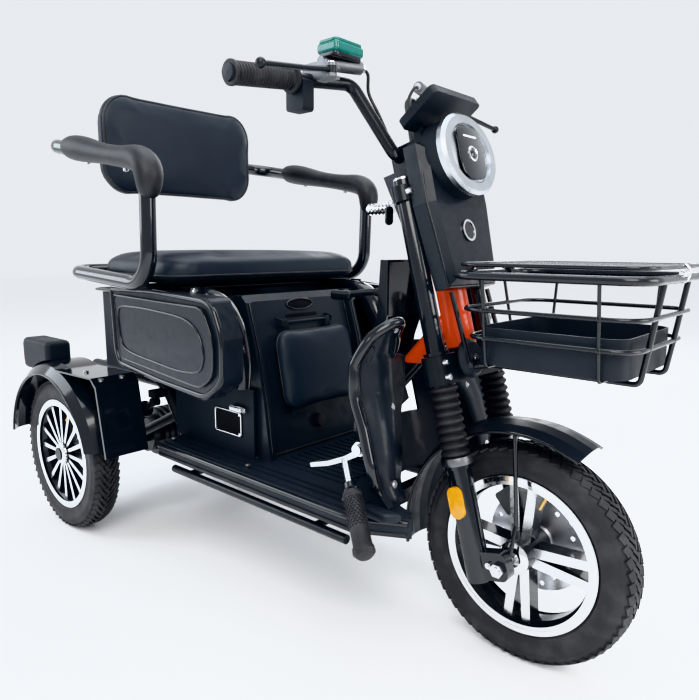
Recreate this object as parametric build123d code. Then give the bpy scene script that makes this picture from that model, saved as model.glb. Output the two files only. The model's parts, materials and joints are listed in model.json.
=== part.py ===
from build123d import *
import os
from math import atan2, cos, degrees, pi, radians, sin, sqrt

# Three-wheel electric leisure scooter with a raked fork, a flip-forward seat and a wire basket.
# X points forward, Y to the rider's left, Z up. The pieces are drawn with x = 0 at the rear
# axle and are moved onto the middle of the vehicle's footprint when they are written.

# ---- overall sizes -------------------------------------------------------------------------
WHEELBASE = 1071.0
TRACK = 554.0                # between the middles of the rear tyres
FRONT_END = 1279.0           # front edge of the basket rim
RAKE = 15.0                  # lean of the steering axis from upright, degrees

# ---- clearances ----------------------------------------------------------------------------
GAP = 0.3                    # between neighbours that don't touch
RUN = 0.05                   # radial running fit of a pin, shaft or sleeve
WHEEL_GAP = 1.0              # end float of a wheel on its axle

# ---- wheels --------------------------------------------------------------------------------
TYRE_R = 185.0
TYRE_WIDTH = 64.0
TREAD_DEPTH = 5.0
TYRE_WALL = 7.0
RIM_LIP_R = 134.0
RIM_SEAT_R = 127.0
RIM_WALL = 4.0
RIM_WIDTH = 58.0
HUB_R = 27.0
HUB_LENGTH = 84.0
REAR_AXLE_R = 10.0
FRONT_AXLE_R = 7.0
REAR_SPOKES = 16
FRONT_SPOKE_PAIRS = 4
DISC_R = 88.0
DISC_THICK = 4.0
DISC_Y = 48.0
DISC_HOLES = 18

# ---- steering and fork, measured along and across the steering axis ------------------------
FORK_OFFSET = 45.0           # front axle ahead of the steering axis
FORK_HALF = 80.0             # fork legs from the middle
STANCHION_R = 16.0
STANCHION_TOP = 643.0
SLIDER_R = 20.5
SLIDER_TOP = 180.0
FORK_TRAVEL = 50.0
YOKE_LOW = 300.0
YOKE_THICK = 48.0
YOKE_DEPTH = 46.0
YOKE_TOP_LOW = 606.0
YOKE_TOP_THICK = 26.0
YOKE_TOP_HALF = 17.5
STEM_R = 15.0
STEM_TOP = 690.0
HEAD_LOW = 356.0
HEAD_TOP = 500.0
HEAD_R = 26.0
BOOT_R = 24.0
BOOT_RIBS = 9

# ---- chassis -------------------------------------------------------------------------------
RAIL_Y = 145.0
RAIL_R = 16.0
RAIL_Z = 214.0
RAIL_REAR_Z = 372.0
RAIL_WALL = 2.5
FLOOR_TOP = 270.0
FLOOR_SKIRT = 238.0
FLOOR_HALF = 233.0
FLOOR_REAR = 327.0
FLOOR_CUT = 572.0            # the floor is open between its sides behind this
FLOOR_WALL = 4.0
RIB_HEIGHT = 3.0
RIB_WIDTH = 9.0
RIB_PITCH = 18.0
WHEEL_WELL_R = 172.0         # clear radius about the steering axis behind the front wheel
SHIELD_HALF = 200.0
SHIELD_TOP = 574.0
SHIELD_THICK = 5.0
DOWN_TUBE_R = 19.0
NECK_NOTCH = 58.0            # half the gap that the shields leave for the neck
TUB_REAR = 90.0
TUB_FRONT = 505.0
TUB_HALF = 228.0
TUB_LOW = 410.0
TUB_TOP = 590.0
TUB_WALL = 4.0
TUB_LIP = 10.0
CASE_THICK = 53.0
CASE_WALL = 3.0
COVER_HALF = 157.0
COVER_THICK = 5.0
COVER_RIM = 17.0
PANEL_HALF = 164.0
PANEL_THICK = 4.0
PANEL_REAR = 300.0
FENDER_R = 230.0
FENDER_TAIL_Z = 212.0
FENDER_LIP_R = 202.0
FENDER_OUT = 338.0
FENDER_IN = 231.5
FENDER_WALL = 3.0

# ---- rear axle -----------------------------------------------------------------------------
PIVOT_X = 262.0
PIVOT_Z = 307.0
PIVOT_R = 8.0
ARM_Y = 111.0
AXLE_TUBE_R = 22.0
AXLE_HALF = 225.0
MOTOR_R = 62.0
DRUM_R = 62.0
SHOCK_Y = 183.0
SHOCK_R = 19.0
SHOCK_EYE_R = 10.0
SHOCK_SEAT = 24.0            # top of the axle's shock bracket above the axle
SHOCK_HANG = 29.0            # underside of the frame's shock bracket below the rail

# ---- seat ----------------------------------------------------------------------------------
SEAT_TUBE_R = 15.0
SEAT_TUBE_Y = 307.0
ARM_REAR = (60.0, 905.0)      # corners of the seat tube, in X and Z
ARM_FRONT = (455.0, 838.0)
ARM_FOOT = (446.0, 612.0)
TUBE_REAR = (128.0, 632.0)
ARM_BEND = 34.0
CUSHION_THICK = 64.0
CUSHION_HALF = 270.0
CUSHION_REAR = 170.0
CUSHION_FRONT = 472.0
BACKREST_LOW = 808.0
BACKREST_TOP = 1030.0
BACKREST_HALF = 210.0
BACKREST_THICK = 46.0
SEAT_PIN_X = 485.0
SEAT_PIN_Z = 600.0
SEAT_PIN_R = 5.0

# ---- basket --------------------------------------------------------------------------------
BASKET_REAR = 985.0
BASKET_HALF = 130.0
BASKET_TOP = 645.0
BASKET_LOW = 503.0
BASKET_ROD_R = 3.5
RIM_ROD_R = 6.0
LID_Z = 661.0
TRAY_HALF = 106.0
TRAY_TOP = 568.0
LID_ROD_R = 3.0

# ---- handlebar -----------------------------------------------------------------------------
BAR_R = 11.0
BAR_HALF = 322.0
GRIP_R = 17.0
GRIP_IN = 196.0

# ---- controls ------------------------------------------------------------------------------
LEVER_X = 775.0              # parking lever pivot
LEVER_Y = 25.0
LEVER_Z = 600.0
SOCKET_Z = 318.0             # charging socket
PAD_Z = 520.0                # hinge of the child's pad on the front cover
PAD_PIN_X = 550.0
PAD_PIN_R = 3.0
PAD_LUG_Y = 62.0
PEDAL_X = 872.0              # foot pedal pivot
PEDAL_Y = -186.0
PEDAL_Z = 364.0
LAMP_Z = 666.0               # headlight's middle along the steering axis
LAMP_HALF_Y = 79.0
LAMP_HALF_Z = 67.0
LAMP_BACK = 42.0
LAMP_FACE = 76.0
LENS_HALF_Y = 60.0
LENS_HALF_Z = 50.0
FAIRING_LOW = 452.0
FAIRING_HIGH = 690.0
FAIRING_BACK = YOKE_TOP_HALF + GAP
FAIRING_FRONT = 56.0
DASH_X = 12.0                # display pin, along and across the steering axis
DASH_Z = 716.0
DASH_PIN_R = 4.0
CLAMP_HALF = 24.0            # half width of the handlebar clamp
EAR_OUT = 31.0
KEY_Y = -30.0
KEY_Z = 640.0
LEVER_PIVOT_X = 786.0        # brake lever pivots
LEVER_PIVOT_Y = 172.0
RESERVOIR_LOW = 996.3
RESERVOIR_TOP = 1014.0
PEG_TOP = (836, -192, 337)
PEG_END = (958, -285, 250)
FRONT_FENDER_R = 226.0
FRONT_LIP_R = 211.0

# ---- derived places ------------------------------------------------------------------------
AXLE_Z = TYRE_R
REAR_END = -sqrt(FENDER_R ** 2 - (FENDER_TAIL_Z - AXLE_Z) ** 2)
ORIGIN_X = (REAR_END + FRONT_END) / 2
WHEEL_Y = TRACK / 2
HINGE_Y = TUB_HALF + TUB_LIP / 2

LEAN = radians(RAKE)
STEER = Plane(
    origin=(WHEELBASE - FORK_OFFSET * cos(LEAN), 0, AXLE_Z - FORK_OFFSET * sin(LEAN)),
    x_dir=(cos(LEAN), 0, sin(LEAN)),
    z_dir=(-sin(LEAN), 0, cos(LEAN)),
)


# ---- shared shapes -------------------------------------------------------------------------
def steer_point(x, y, z):
    """A place given along and across the steering axis, in vehicle coordinates."""
    return STEER.from_local_coords(Vector(x, y, z))


def on_steering(shape):
    """Put a shape drawn about the steering axis where that axis stands."""
    return STEER.location * shape


def mirrored(shape):
    """A shape together with its mirror image across the vehicle's middle."""
    return shape + mirror(shape, about=Plane.XZ)


def rod_y(radius, y_from, y_to, x, z):
    """A round bar across the vehicle."""
    length = abs(y_to - y_from)
    return Pos(x, (y_from + y_to) / 2, z) * Rot(90, 0, 0) * Cylinder(radius, length)


def ring_y(outer, inner, y_from, y_to, x, z):
    """A sleeve across the vehicle."""
    low, high = sorted((y_from, y_to))
    return rod_y(outer, low, high, x, z) - rod_y(inner, low - 1, high + 1, x, z)


def block(x_from, x_to, y_from, y_to, z_from, z_to):
    """A rectangular block between opposite corners."""
    size = (x_to - x_from, y_to - y_from, z_to - z_from)
    middle = ((x_from + x_to) / 2, (y_from + y_to) / 2, (z_from + z_to) / 2)
    return Pos(*middle) * Box(*size)


def rounded_block(x_from, x_to, y_from, y_to, z_from, z_to, corner):
    """A block with every edge rounded."""
    body = block(x_from, x_to, y_from, y_to, z_from, z_to)
    return fillet(body.edges(), corner)


def rod(start, end, radius):
    """A straight round bar between two points."""
    line = Line(start, end)
    return sweep(Plane(origin=line @ 0, z_dir=line % 0) * Circle(radius), path=line)


def pipe(points, radius, bend, bore=0.0):
    """A round tube or bar along straight runs joined by tangent bends."""
    path = FilletPolyline(*points, radius=bend)
    start = Plane(origin=path @ 0, z_dir=path % 0)
    section = start * Circle(radius)
    if bore:
        section -= start * Circle(bore)
    return sweep(section, path=path)


def side_prism(outline, y_from, y_to):
    """A solid with an outline in X and Z, pulled across the vehicle."""
    face = make_face(Polyline(*outline, close=True))
    low = min(y_from, y_to)
    solid = extrude(Plane.XZ * face, amount=-abs(y_to - y_from))
    return Pos(0, low, 0) * solid


def rounded_prism(outline, y_from, y_to, corner):
    """A side_prism whose corners across the vehicle are rounded."""
    solid = side_prism(outline, y_from, y_to)
    return fillet(solid.edges().filter_by(Axis.Y), corner)


def spun_about_y(outline, x, z, arc=360.0):
    """A solid turned about an axis across the vehicle from an outline of (radius, y) points."""
    face = make_face(Polyline(*outline, close=True))
    solid = revolve(face, axis=Axis.Y, revolution_arc=arc)
    return Pos(x, 0, z) * solid


def steer_clearance(radius, low, high):
    """The space about the steering axis that turning pieces need."""
    tall = high - low
    return on_steering(Pos(0, 0, low + tall / 2) * Cylinder(radius, tall))


# ---- wheels --------------------------------------------------------------------------------
def tyre(x, y):
    """A tyre: a rounded carcass with a hollow inside, seated on its rim."""
    half = TYRE_WIDTH / 2
    shoulder = TYRE_R - TREAD_DEPTH * 3
    bead = RIM_SEAT_R + GAP
    seat = RIM_WIDTH / 2 - RIM_WALL - GAP
    outline = [
        (bead, -seat), (RIM_LIP_R, -seat), (RIM_LIP_R + GAP, -half + 2), (shoulder - 12, -half),
        (shoulder, -half + 2), (TYRE_R - 4, -half + 12), (TYRE_R, -half + 24),
        (TYRE_R, half - 24), (TYRE_R - 4, half - 12), (shoulder, half - 2), (shoulder - 12, half),
        (RIM_LIP_R + GAP, half - 2), (RIM_LIP_R, seat), (bead, seat),
        (bead, seat - TYRE_WALL), (RIM_LIP_R + 4, seat - TYRE_WALL),
        (shoulder - 8, half - TYRE_WALL), (TYRE_R - 16, half - 18),
        (TYRE_R - 16, -half + 18), (shoulder - 8, -half + TYRE_WALL),
        (RIM_LIP_R + 4, -seat + TYRE_WALL), (bead, -seat + TYRE_WALL),
    ]
    return Pos(0, y, 0) * spun_about_y(outline, x, AXLE_Z)


def rim_barrel(x, y, axle_r, hub_from, hub_to):
    """A rim's barrel with its two lips, and the hub with its axle bore."""
    half = RIM_WIDTH / 2
    seat = half - RIM_WALL
    outline = [
        (RIM_SEAT_R, -seat), (RIM_LIP_R - GAP, -seat), (RIM_LIP_R - GAP, -half),
        (RIM_SEAT_R - RIM_WALL - 4, -half), (RIM_SEAT_R - RIM_WALL, -half + 8),
        (RIM_SEAT_R - 12, -12), (RIM_SEAT_R - 12, 12), (RIM_SEAT_R - RIM_WALL, half - 8),
        (RIM_SEAT_R - RIM_WALL - 4, half), (RIM_LIP_R - GAP, half), (RIM_LIP_R - GAP, seat),
        (RIM_SEAT_R, seat), (RIM_SEAT_R, seat - 8), (RIM_SEAT_R - 6, 10),
        (RIM_SEAT_R - 6, -10), (RIM_SEAT_R, -seat + 8),
    ]
    barrel = Pos(0, y, 0) * spun_about_y(outline, x, AXLE_Z)
    hub = rod_y(HUB_R, hub_from, hub_to, x, AXLE_Z)
    low, high = sorted((hub_from, hub_to))
    return barrel, hub, rod_y(axle_r + RUN, low - 1, high + 1, x, AXLE_Z)


def spoke(x, y_from, y_to, width_in, width_out, angle, shift=0.0):
    """One tapered spoke from the hub to the barrel, at an angle about the axle."""
    inner = HUB_R - 4
    outer = RIM_SEAT_R - 9
    outline = [
        (inner, shift * 0.5 - width_in / 2), (outer, shift - width_out / 2),
        (outer, shift + width_out / 2), (inner, shift * 0.5 + width_in / 2),
    ]
    return Pos(x, 0, AXLE_Z) * Rot(0, angle, 0) * side_prism(outline, y_from, y_to)


def rear_rim(side):
    """A rear rim with its ring of slim spokes near the outer face."""
    y = side * WHEEL_Y
    hub_from = side * (AXLE_HALF + WHEEL_GAP)
    hub_to = side * (WHEEL_Y + RIM_WIDTH / 2 - 4)
    barrel, hub, bore = rim_barrel(0, y, REAR_AXLE_R, hub_from, hub_to)
    wheel = barrel + hub
    for index in range(REAR_SPOKES):
        turn = index * 360 / REAR_SPOKES
        wheel += spoke(0, side * (WHEEL_Y + 8), side * (WHEEL_Y + 22), 7, 11, turn)
    return wheel - bore


def front_rim():
    """The front rim: paired spokes at right angles, and a hub with a seat for the disc."""
    barrel, hub, bore = rim_barrel(WHEELBASE, 0, FRONT_AXLE_R, -HUB_LENGTH / 2, HUB_LENGTH / 2)
    wheel = barrel + hub
    for index in range(FRONT_SPOKE_PAIRS):
        turn = index * 360 / FRONT_SPOKE_PAIRS
        for shift in (-17, 17):
            wheel += spoke(WHEELBASE, -18, 14, 17, 15, turn, shift)
    return wheel - bore


def brake_disc():
    """The drilled brake disc, bolted against the end of the hub."""
    low = DISC_Y - DISC_THICK / 2
    disc = ring_y(DISC_R, FRONT_AXLE_R + 6, low, low + DISC_THICK, WHEELBASE, AXLE_Z)
    for index in range(DISC_HOLES):
        angle = 2 * pi * index / DISC_HOLES
        radius = DISC_R - 12 - 10 * (index % 2)
        x = WHEELBASE + radius * cos(angle)
        disc -= rod_y(4, low - 1, low + DISC_THICK + 1, x, AXLE_Z + radius * sin(angle))
    carrier = ring_y(HUB_R, FRONT_AXLE_R + RUN, HUB_LENGTH / 2 + GAP, low, WHEELBASE, AXLE_Z)
    return disc + carrier


# ---- rear axle -----------------------------------------------------------------------------
def axle_beam():
    """The rear axle tube, its stub ends and the two trailing arms with their pivot bushes."""
    beam = rod_y(AXLE_TUBE_R, -AXLE_HALF, AXLE_HALF, 0, AXLE_Z)
    stub_end = WHEEL_Y + RIM_WIDTH / 2
    beam += rod_y(REAR_AXLE_R, -stub_end, stub_end, 0, AXLE_Z)
    for side in (-1, 1):
        arm_y = side * ARM_Y
        beam += rod((0, arm_y, AXLE_Z), (PIVOT_X, arm_y, PIVOT_Z), 12)
        beam += rod_y(PIVOT_R + 6, arm_y - 14, arm_y + 14, PIVOT_X, PIVOT_Z)
        shock_y = side * SHOCK_Y
        beam += block(14, 40, shock_y - 5, shock_y + 5, AXLE_Z, AXLE_Z + SHOCK_SEAT)
        nut_from = side * (stub_end - 4 + WHEEL_GAP)
        beam += rod_y(REAR_AXLE_R + 5, nut_from, nut_from + side * 9, 0, AXLE_Z)
    return beam - rod_y(PIVOT_R + RUN, -ARM_Y - 20, ARM_Y + 20, PIVOT_X, PIVOT_Z)


def drive_motor():
    """The geared motor around the middle of the axle, with its cooling ribs."""
    motor = rod_y(MOTOR_R, -52, 52, 0, AXLE_Z) + rod_y(MOTOR_R - 14, -78, 78, 0, AXLE_Z)
    for index in range(5):
        y = -36 + 18 * index
        motor += rod_y(MOTOR_R + 5, y - 3, y + 3, 0, AXLE_Z)
    return motor - rod_y(AXLE_TUBE_R, -80, 80, 0, AXLE_Z)


def brake_drums():
    """The two drum-brake back plates on the ends of the axle tube."""
    drums = None
    for side in (-1, 1):
        plate = ring_y(DRUM_R, AXLE_TUBE_R, side * 206, side * 224, 0, AXLE_Z)
        drums = plate if drums is None else drums + plate
    return drums


def rear_shocks():
    """Two coil-over shock absorbers between the axle and the frame."""
    shocks = []
    for side in (-1, 1):
        y = side * SHOCK_Y
        low = Vector(27, y, AXLE_Z + SHOCK_SEAT + GAP + SHOCK_EYE_R)
        high = Vector(236, y, RAIL_REAR_Z - SHOCK_HANG - SHOCK_EYE_R)
        line = Line(low, high)
        body = rod(low, high, 8)
        for eye in (low, high):
            body += rod_y(SHOCK_EYE_R, y - 9, y + 9, eye.X, eye.Z)
        for index in range(9):
            place = Plane(origin=line @ (0.16 + 0.078 * index), z_dir=line % 0)
            body += place.location * Cylinder(SHOCK_R, 8)
        shocks.append(body)
    return Compound(children=shocks)


# ---- chassis -------------------------------------------------------------------------------
def main_frame():
    """Two rails under the floor that rise over the rear axle, tied by cross members."""
    bore = RAIL_R - RAIL_WALL
    path = [(832, RAIL_Y, RAIL_Z), (345, RAIL_Y, RAIL_Z), (225, RAIL_Y, RAIL_REAR_Z),
            (-112, RAIL_Y, RAIL_REAR_Z)]
    frame = mirrored(pipe(path, RAIL_R, 60, bore))
    inner = RAIL_Y - bore - 1
    for x in (812, 505, 352):
        frame += block(x - 13, x + 13, -inner, inner, RAIL_Z - 14, RAIL_Z + 14)
    frame += rod_y(PIVOT_R, -inner, inner, PIVOT_X, PIVOT_Z)
    for x in (-90, 130):
        frame += block(x - 10, x + 10, -inner, inner, RAIL_REAR_Z - 12, RAIL_REAR_Z + 12)
    rail_top = RAIL_Z + RAIL_R - 1
    for side in (-1, 1):
        y = side * RAIL_Y
        frame += Pos(482, y, (rail_top + TUB_LOW) / 2) * Cylinder(12, TUB_LOW - rail_top)
        frame += block(120, 140, y - 10, y + 10, RAIL_REAR_Z + RAIL_R - 3, TUB_LOW)
        outer = side * (SHOCK_Y + 8)
        frame += block(222, 250, min(y, outer), max(y, outer), RAIL_REAR_Z - SHOCK_HANG + GAP,
                       RAIL_REAR_Z - 12)
    return frame


def down_tube(radius, low):
    """The tube from the front cross member up to the head tube."""
    middle = steer_point(0, 0, (HEAD_LOW + HEAD_TOP) / 2 - 16)
    return pipe([(782, 0, low), (764, 0, 400), middle], radius, 90)


def frame_neck():
    """The head tube with the down tube that carries it from the front cross member."""
    tall = HEAD_TOP - HEAD_LOW
    head = on_steering(Pos(0, 0, HEAD_LOW + tall / 2) * Cylinder(HEAD_R, tall))
    tube = down_tube(DOWN_TUBE_R, RAIL_Z + 14)
    bore = steer_clearance(STEM_R + RUN, HEAD_LOW - 60, HEAD_TOP + 60)
    return head + tube - bore


def floor_outline(x_rear, half, inset=0.0):
    """The floorboard's outline, seen from above."""
    front = 972 - inset
    points = [
        (x_rear + inset, -half), (889, -half), (front, -half + 46), (front - 14, -half + 60),
        (front - 14, half - 60), (front, half - 46), (889, half), (x_rear + inset, half),
    ]
    return make_face(Polyline(*points, close=True))


def floorboard():
    """The ribbed footboard: a shell with a skirt, open under the seat and round the wheel."""
    tall = FLOOR_TOP - FLOOR_SKIRT
    board = Pos(0, 0, FLOOR_SKIRT) * extrude(floor_outline(FLOOR_REAR, FLOOR_HALF), amount=tall)
    inside = floor_outline(FLOOR_REAR + FLOOR_WALL, FLOOR_HALF - FLOOR_WALL, FLOOR_WALL)
    board -= Pos(0, 0, FLOOR_SKIRT) * extrude(inside, amount=tall - FLOOR_WALL)
    web_low = RAIL_Z + RAIL_R
    for side in (-1, 1):
        y = side * RAIL_Y
        board += block(FLOOR_CUT, 820, y - 8, y + 8, web_low, FLOOR_TOP - FLOOR_WALL + 1)
        count = int((FLOOR_HALF - PANEL_HALF - 20) / RIB_PITCH) + 1
        for index in range(count):
            rib = side * (FLOOR_HALF - 12 - index * RIB_PITCH)
            board += block(FLOOR_REAR + 12, 880, rib - RIB_WIDTH / 2, rib + RIB_WIDTH / 2,
                           FLOOR_TOP, FLOOR_TOP + RIB_HEIGHT)
    for index in range(-8, 9):
        rib = index * RIB_PITCH
        board += block(618, 792, rib - RIB_WIDTH / 2, rib + RIB_WIDTH / 2,
                       FLOOR_TOP, FLOOR_TOP + RIB_HEIGHT)
    half = PANEL_HALF - 1
    board -= block(FLOOR_REAR - 1, FLOOR_CUT, -half, half, web_low - 1, FLOOR_TOP + 10)
    board -= down_tube(DOWN_TUBE_R + GAP, RAIL_Z + RAIL_R)
    return board - steer_clearance(WHEEL_WELL_R, -60, 300)


def floor_edge_bars():
    """A guard bar below each edge of the floor, on two short stubs from the rail."""
    bars = None
    z = RAIL_Z
    for side in (-1, 1):
        y = side * (FLOOR_HALF - 14)
        bar = Pos(615, y, z) * Rot(0, 90, 0) * Cylinder(8, 500)
        for x in (420, 790):
            bar += rod_y(7, side * (RAIL_Y + RAIL_R + GAP), y, x, z)
        bars = bar if bars is None else bars + bar
    return bars


def leg_shields():
    """The leg shields: a bowed panel either side and a curved wall behind the wheel."""
    back = [(918, FLOOR_TOP + GAP), (899, 300), (894, 340), (876, 400), (858, 446),
            (856, 500), (876, 545), (906, SHIELD_TOP)]
    front = [(x + SHIELD_THICK, z + 1) for x, z in reversed(back)]
    sheet = side_prism(back + front, -SHIELD_HALF, SHIELD_HALF)
    half = SHIELD_HALF
    low = FLOOR_TOP + GAP
    wing = [(half - 16, low), (half, 330), (half, 500), (half - 22, 552), (half - 62, SHIELD_TOP),
            (half - 88, SHIELD_TOP - 34), (half - 98, 512), (NECK_NOTCH + 6, 500),
            (NECK_NOTCH + 6, 425), (half - 92, 412), (half - 78, 340), (half - 62, low)]
    wing_face = make_face(Polyline(*wing, close=True))
    wing_solid = extrude(Plane.YZ * wing_face, amount=1200)
    panels = sheet & mirrored(wing_solid)
    tall = 320
    wall = on_steering(Pos(0, 0, 70 + tall / 2)
                       * (Cylinder(WHEEL_WELL_R + SHIELD_THICK, tall) - Cylinder(WHEEL_WELL_R, tall)))
    wall &= block(600, 915, -151, 151, low, 505)
    wall -= block(600, 915, -NECK_NOTCH, NECK_NOTCH, 370, 600)
    shields = panels + wall + pedal_bracket()
    return shields - steer_clearance(WHEEL_WELL_R, -60, 190)


def knee_panel():
    """The cover behind the neck, with the ears that carry the parking lever."""
    low = FLOOR_TOP + RIB_HEIGHT + GAP
    rear = [(728, low), (738, 400), (752, 480), (788, 560), (795, 664)]
    front = [(812, 664), (812, 565), (782, 480), (768, 400), (758, low)]
    half = NECK_NOTCH - 4
    cover = side_prism(rear + front, -half, half)
    inside = [(732, low - 9), (742, 400), (756, 479), (792, 559), (799, 660), (900, 660),
              (900, low - 9)]
    cover -= side_prism(inside, -half + 4, half - 4)
    for y_from, y_to in ((LEVER_Y - 22, LEVER_Y - 14), (LEVER_Y + 14, LEVER_Y + 22)):
        cover += block(LEVER_X - 10, 795, y_from, y_to, LEVER_Z - 12, LEVER_Z + 12)
    cover += rod_y(5, LEVER_Y - 15, LEVER_Y + 15, LEVER_X, LEVER_Z)
    return cover


def seat_box():
    """The open tub under the seat, with its rim lip and a floor drained in the middle."""
    tub = block(TUB_REAR, TUB_FRONT, -TUB_HALF, TUB_HALF, TUB_LOW, TUB_TOP)
    tub = fillet(tub.edges().filter_by(Axis.Z), 22)
    lip_out = TUB_HALF + TUB_LIP
    lip = block(TUB_REAR - TUB_LIP, TUB_FRONT, -lip_out, lip_out, TUB_TOP - 5, TUB_TOP)
    tub += fillet(lip.edges().filter_by(Axis.Z), 24)
    inner = TUB_HALF - TUB_WALL
    hollow = block(TUB_REAR + TUB_WALL, TUB_FRONT - TUB_WALL, -inner, inner,
                   TUB_LOW + TUB_WALL, TUB_TOP + 1)
    return tub - fillet(hollow.edges().filter_by(Axis.Z), 18)


def cover_profile(shift):
    """The lean of the box's front face, as points in X and Z, moved forward by shift."""
    low = FLOOR_TOP + GAP
    return [(590 + shift, low), (573 + shift, 388), (551 + shift, 486), (524 + shift, 577),
            (TUB_FRONT + COVER_THICK + GAP + 0.5 + shift, TUB_TOP)]


def box_front_cover():
    """The front cover of the box: a leaning panel with raised side rims and returns."""
    face = cover_profile(0) + list(reversed(cover_profile(-COVER_THICK)))
    cover = side_prism(face, -COVER_HALF, COVER_HALF)
    rim = cover_profile(COVER_RIM) + list(reversed(cover_profile(-COVER_THICK)))
    for side in (-1, 1):
        cover += side_prism(rim, side * (COVER_HALF - 16), side * COVER_HALF)
    low = FLOOR_TOP + GAP
    back = cover_profile(-2) + [(TUB_FRONT + GAP, TUB_TOP), (TUB_FRONT + GAP, low)]
    for side in (-1, 1):
        cover += side_prism(back, side * (COVER_HALF - COVER_THICK), side * COVER_HALF)
    ear = side_prism([(533, PAD_Z + 4), (PAD_PIN_X + 6, PAD_Z + 6), (PAD_PIN_X + 6, PAD_Z + 18),
                      (533, PAD_Z + 22)], PAD_LUG_Y + 8 + GAP, PAD_LUG_Y + 14)
    cover += mirrored(ear)
    return cover + rod_y(PAD_PIN_R, -PAD_LUG_Y - 9, PAD_LUG_Y + 9, PAD_PIN_X, PAD_Z + 12)


def side_case(side):
    """One side case: an open-backed shell against the tub, with a stepped outer face."""
    outline = [(246, 605), (597, 596), (633, 528), (630, 447), (575, 409), (262, 436)]
    inset = [(272, 586), (580, 578), (609, 524), (606, 458), (566, 432), (286, 455)]
    near = TUB_HALF + TUB_LIP + GAP
    far = near + CASE_THICK - TUB_LIP
    case = rounded_prism(outline, side * near, side * far, 18)
    pad = rounded_prism(inset, side * (far - 2), side * (far + 6), 14)
    hollow = rounded_prism(inset, side * (near - 1), side * (far - CASE_WALL), 12)
    return case + pad - hollow


def side_cases():
    """The two side cases."""
    return side_case(-1) + side_case(1)


def lower_side_panels():
    """The panel below each side case, standing on the floor."""
    low = FLOOR_TOP + GAP
    panel = block(PANEL_REAR, FLOOR_CUT, PANEL_HALF, PANEL_HALF + PANEL_THICK, low, TUB_LOW - GAP)
    flange = block(PANEL_REAR, PANEL_REAR + PANEL_THICK, PANEL_HALF - 22, PANEL_HALF + 1,
                   310, TUB_LOW - GAP)
    return mirrored(panel + flange)


def rear_fender(side):
    """One rear fender: a crowned arch with a flat front apron and an inner plate."""
    inner = side * FENDER_IN
    outer = side * FENDER_OUT
    crown = FENDER_R
    wall = FENDER_WALL
    arch = [
        (crown, inner), (crown, side * 300), (crown - 8, side * 322), (FENDER_LIP_R, outer),
        (FENDER_LIP_R - wall, outer - side * wall), (crown - 8 - wall, side * (322 - wall)),
        (crown - wall, side * 298), (crown - wall, inner + side * wall),
        (TYRE_R - 30, inner + side * wall), (TYRE_R - 30, inner),
    ]
    ring = spun_about_y(arch, 0, AXLE_Z)
    keep = side_prism([(REAR_END - 1, FENDER_TAIL_Z), (REAR_END - 1, 440), (238, 440), (238, 238),
                       (0, AXLE_Z + 40), (-100, FENDER_TAIL_Z)], inner, outer + side * 2)
    fender = ring & keep
    apron = [(52, 405), (232, 409), (254, 392), (282, 242), (276, 240), (248, 388), (229, 405.5),
             (52, 401)]
    sheet = side_prism(apron, inner, side * 330)
    sheet -= Pos(0, 0, AXLE_Z) * rod_y(FENDER_R - wall, inner - side, side * 340, 0, 0)
    return fender + sheet


def rear_fenders():
    """The two rear fenders, each bolted to the rail by a bracket."""
    fenders = rear_fender(-1) + rear_fender(1)
    for side in (-1, 1):
        near = side * (RAIL_Y + RAIL_R + GAP)
        far = side * (FENDER_IN + 1)
        fenders += block(-70, -30, min(near, far), max(near, far), 366, 378)
    return fenders


def tail_lamps():
    """A lamp pod on the crown of each rear fender."""
    pod = rounded_block(-168, -24, 250, 312, 380, 458, 12)
    pod -= rod_y(FENDER_R + GAP, 200, 340, 0, AXLE_Z)
    return mirrored(pod)


def seat_brackets():
    """The upright ears on the tub's rim that carry the seat's hinge pins."""
    low = TUB_TOP + GAP
    ear = block(SEAT_PIN_X - 14, SEAT_PIN_X + 14, HINGE_Y - 3, HINGE_Y + 3, low, SEAT_PIN_Z + 10)
    ear += block(SEAT_PIN_X - 60, SEAT_PIN_X + 14, HINGE_Y - 4, HINGE_Y + 4, low, low + 2.5)
    ear -= rod_y(SEAT_PIN_R + RUN, HINGE_Y - 10, HINGE_Y + 10, SEAT_PIN_X, SEAT_PIN_Z)
    return mirrored(ear)


def battery_and_controller():
    """Four battery bricks side by side and the motor controller, on the cross members."""
    low = RAIL_Z + 14 + GAP
    pieces = []
    for index in range(4):
        y = -124 + index * 62.5
        pieces.append(rounded_block(322, 470, y, y + 60, low, TUB_LOW - 14, 3))
    pieces.append(rounded_block(492, 556, -60, 60, low, low + 44, 3))
    return Compound(children=pieces)


def return_spring():
    """The brake cable's return spring beside the right lower panel."""
    radius = 6.0
    y = -(PANEL_HALF + PANEL_THICK + GAP + radius + 1.2)
    pieces = []
    for index in range(15):
        turn = Rot(0, 90, 0) * Torus(radius, 1.2)
        pieces.append(Pos(514 + index * 2.4, y, 366) * turn)
    coil = pieces[0]
    for turn in pieces[1:]:
        coil += turn
    return coil


def charge_socket():
    """The capped charging socket low on the front cover."""
    (low_x, low_z), (high_x, high_z) = cover_profile(0)[:2]
    lean = atan2(low_x - high_x, high_z - low_z)
    share = (SOCKET_Z - low_z) / (high_z - low_z)
    surface = low_x + (high_x - low_x) * share
    off = 5 + GAP
    socket = Cylinder(15, 10) + Pos(0, 0, 5) * Cylinder(12, 6)
    place = Pos(surface + off * cos(lean), 0, SOCKET_Z + off * sin(lean))
    return place * Rot(0, 90 - degrees(lean), 0) * socket


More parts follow.
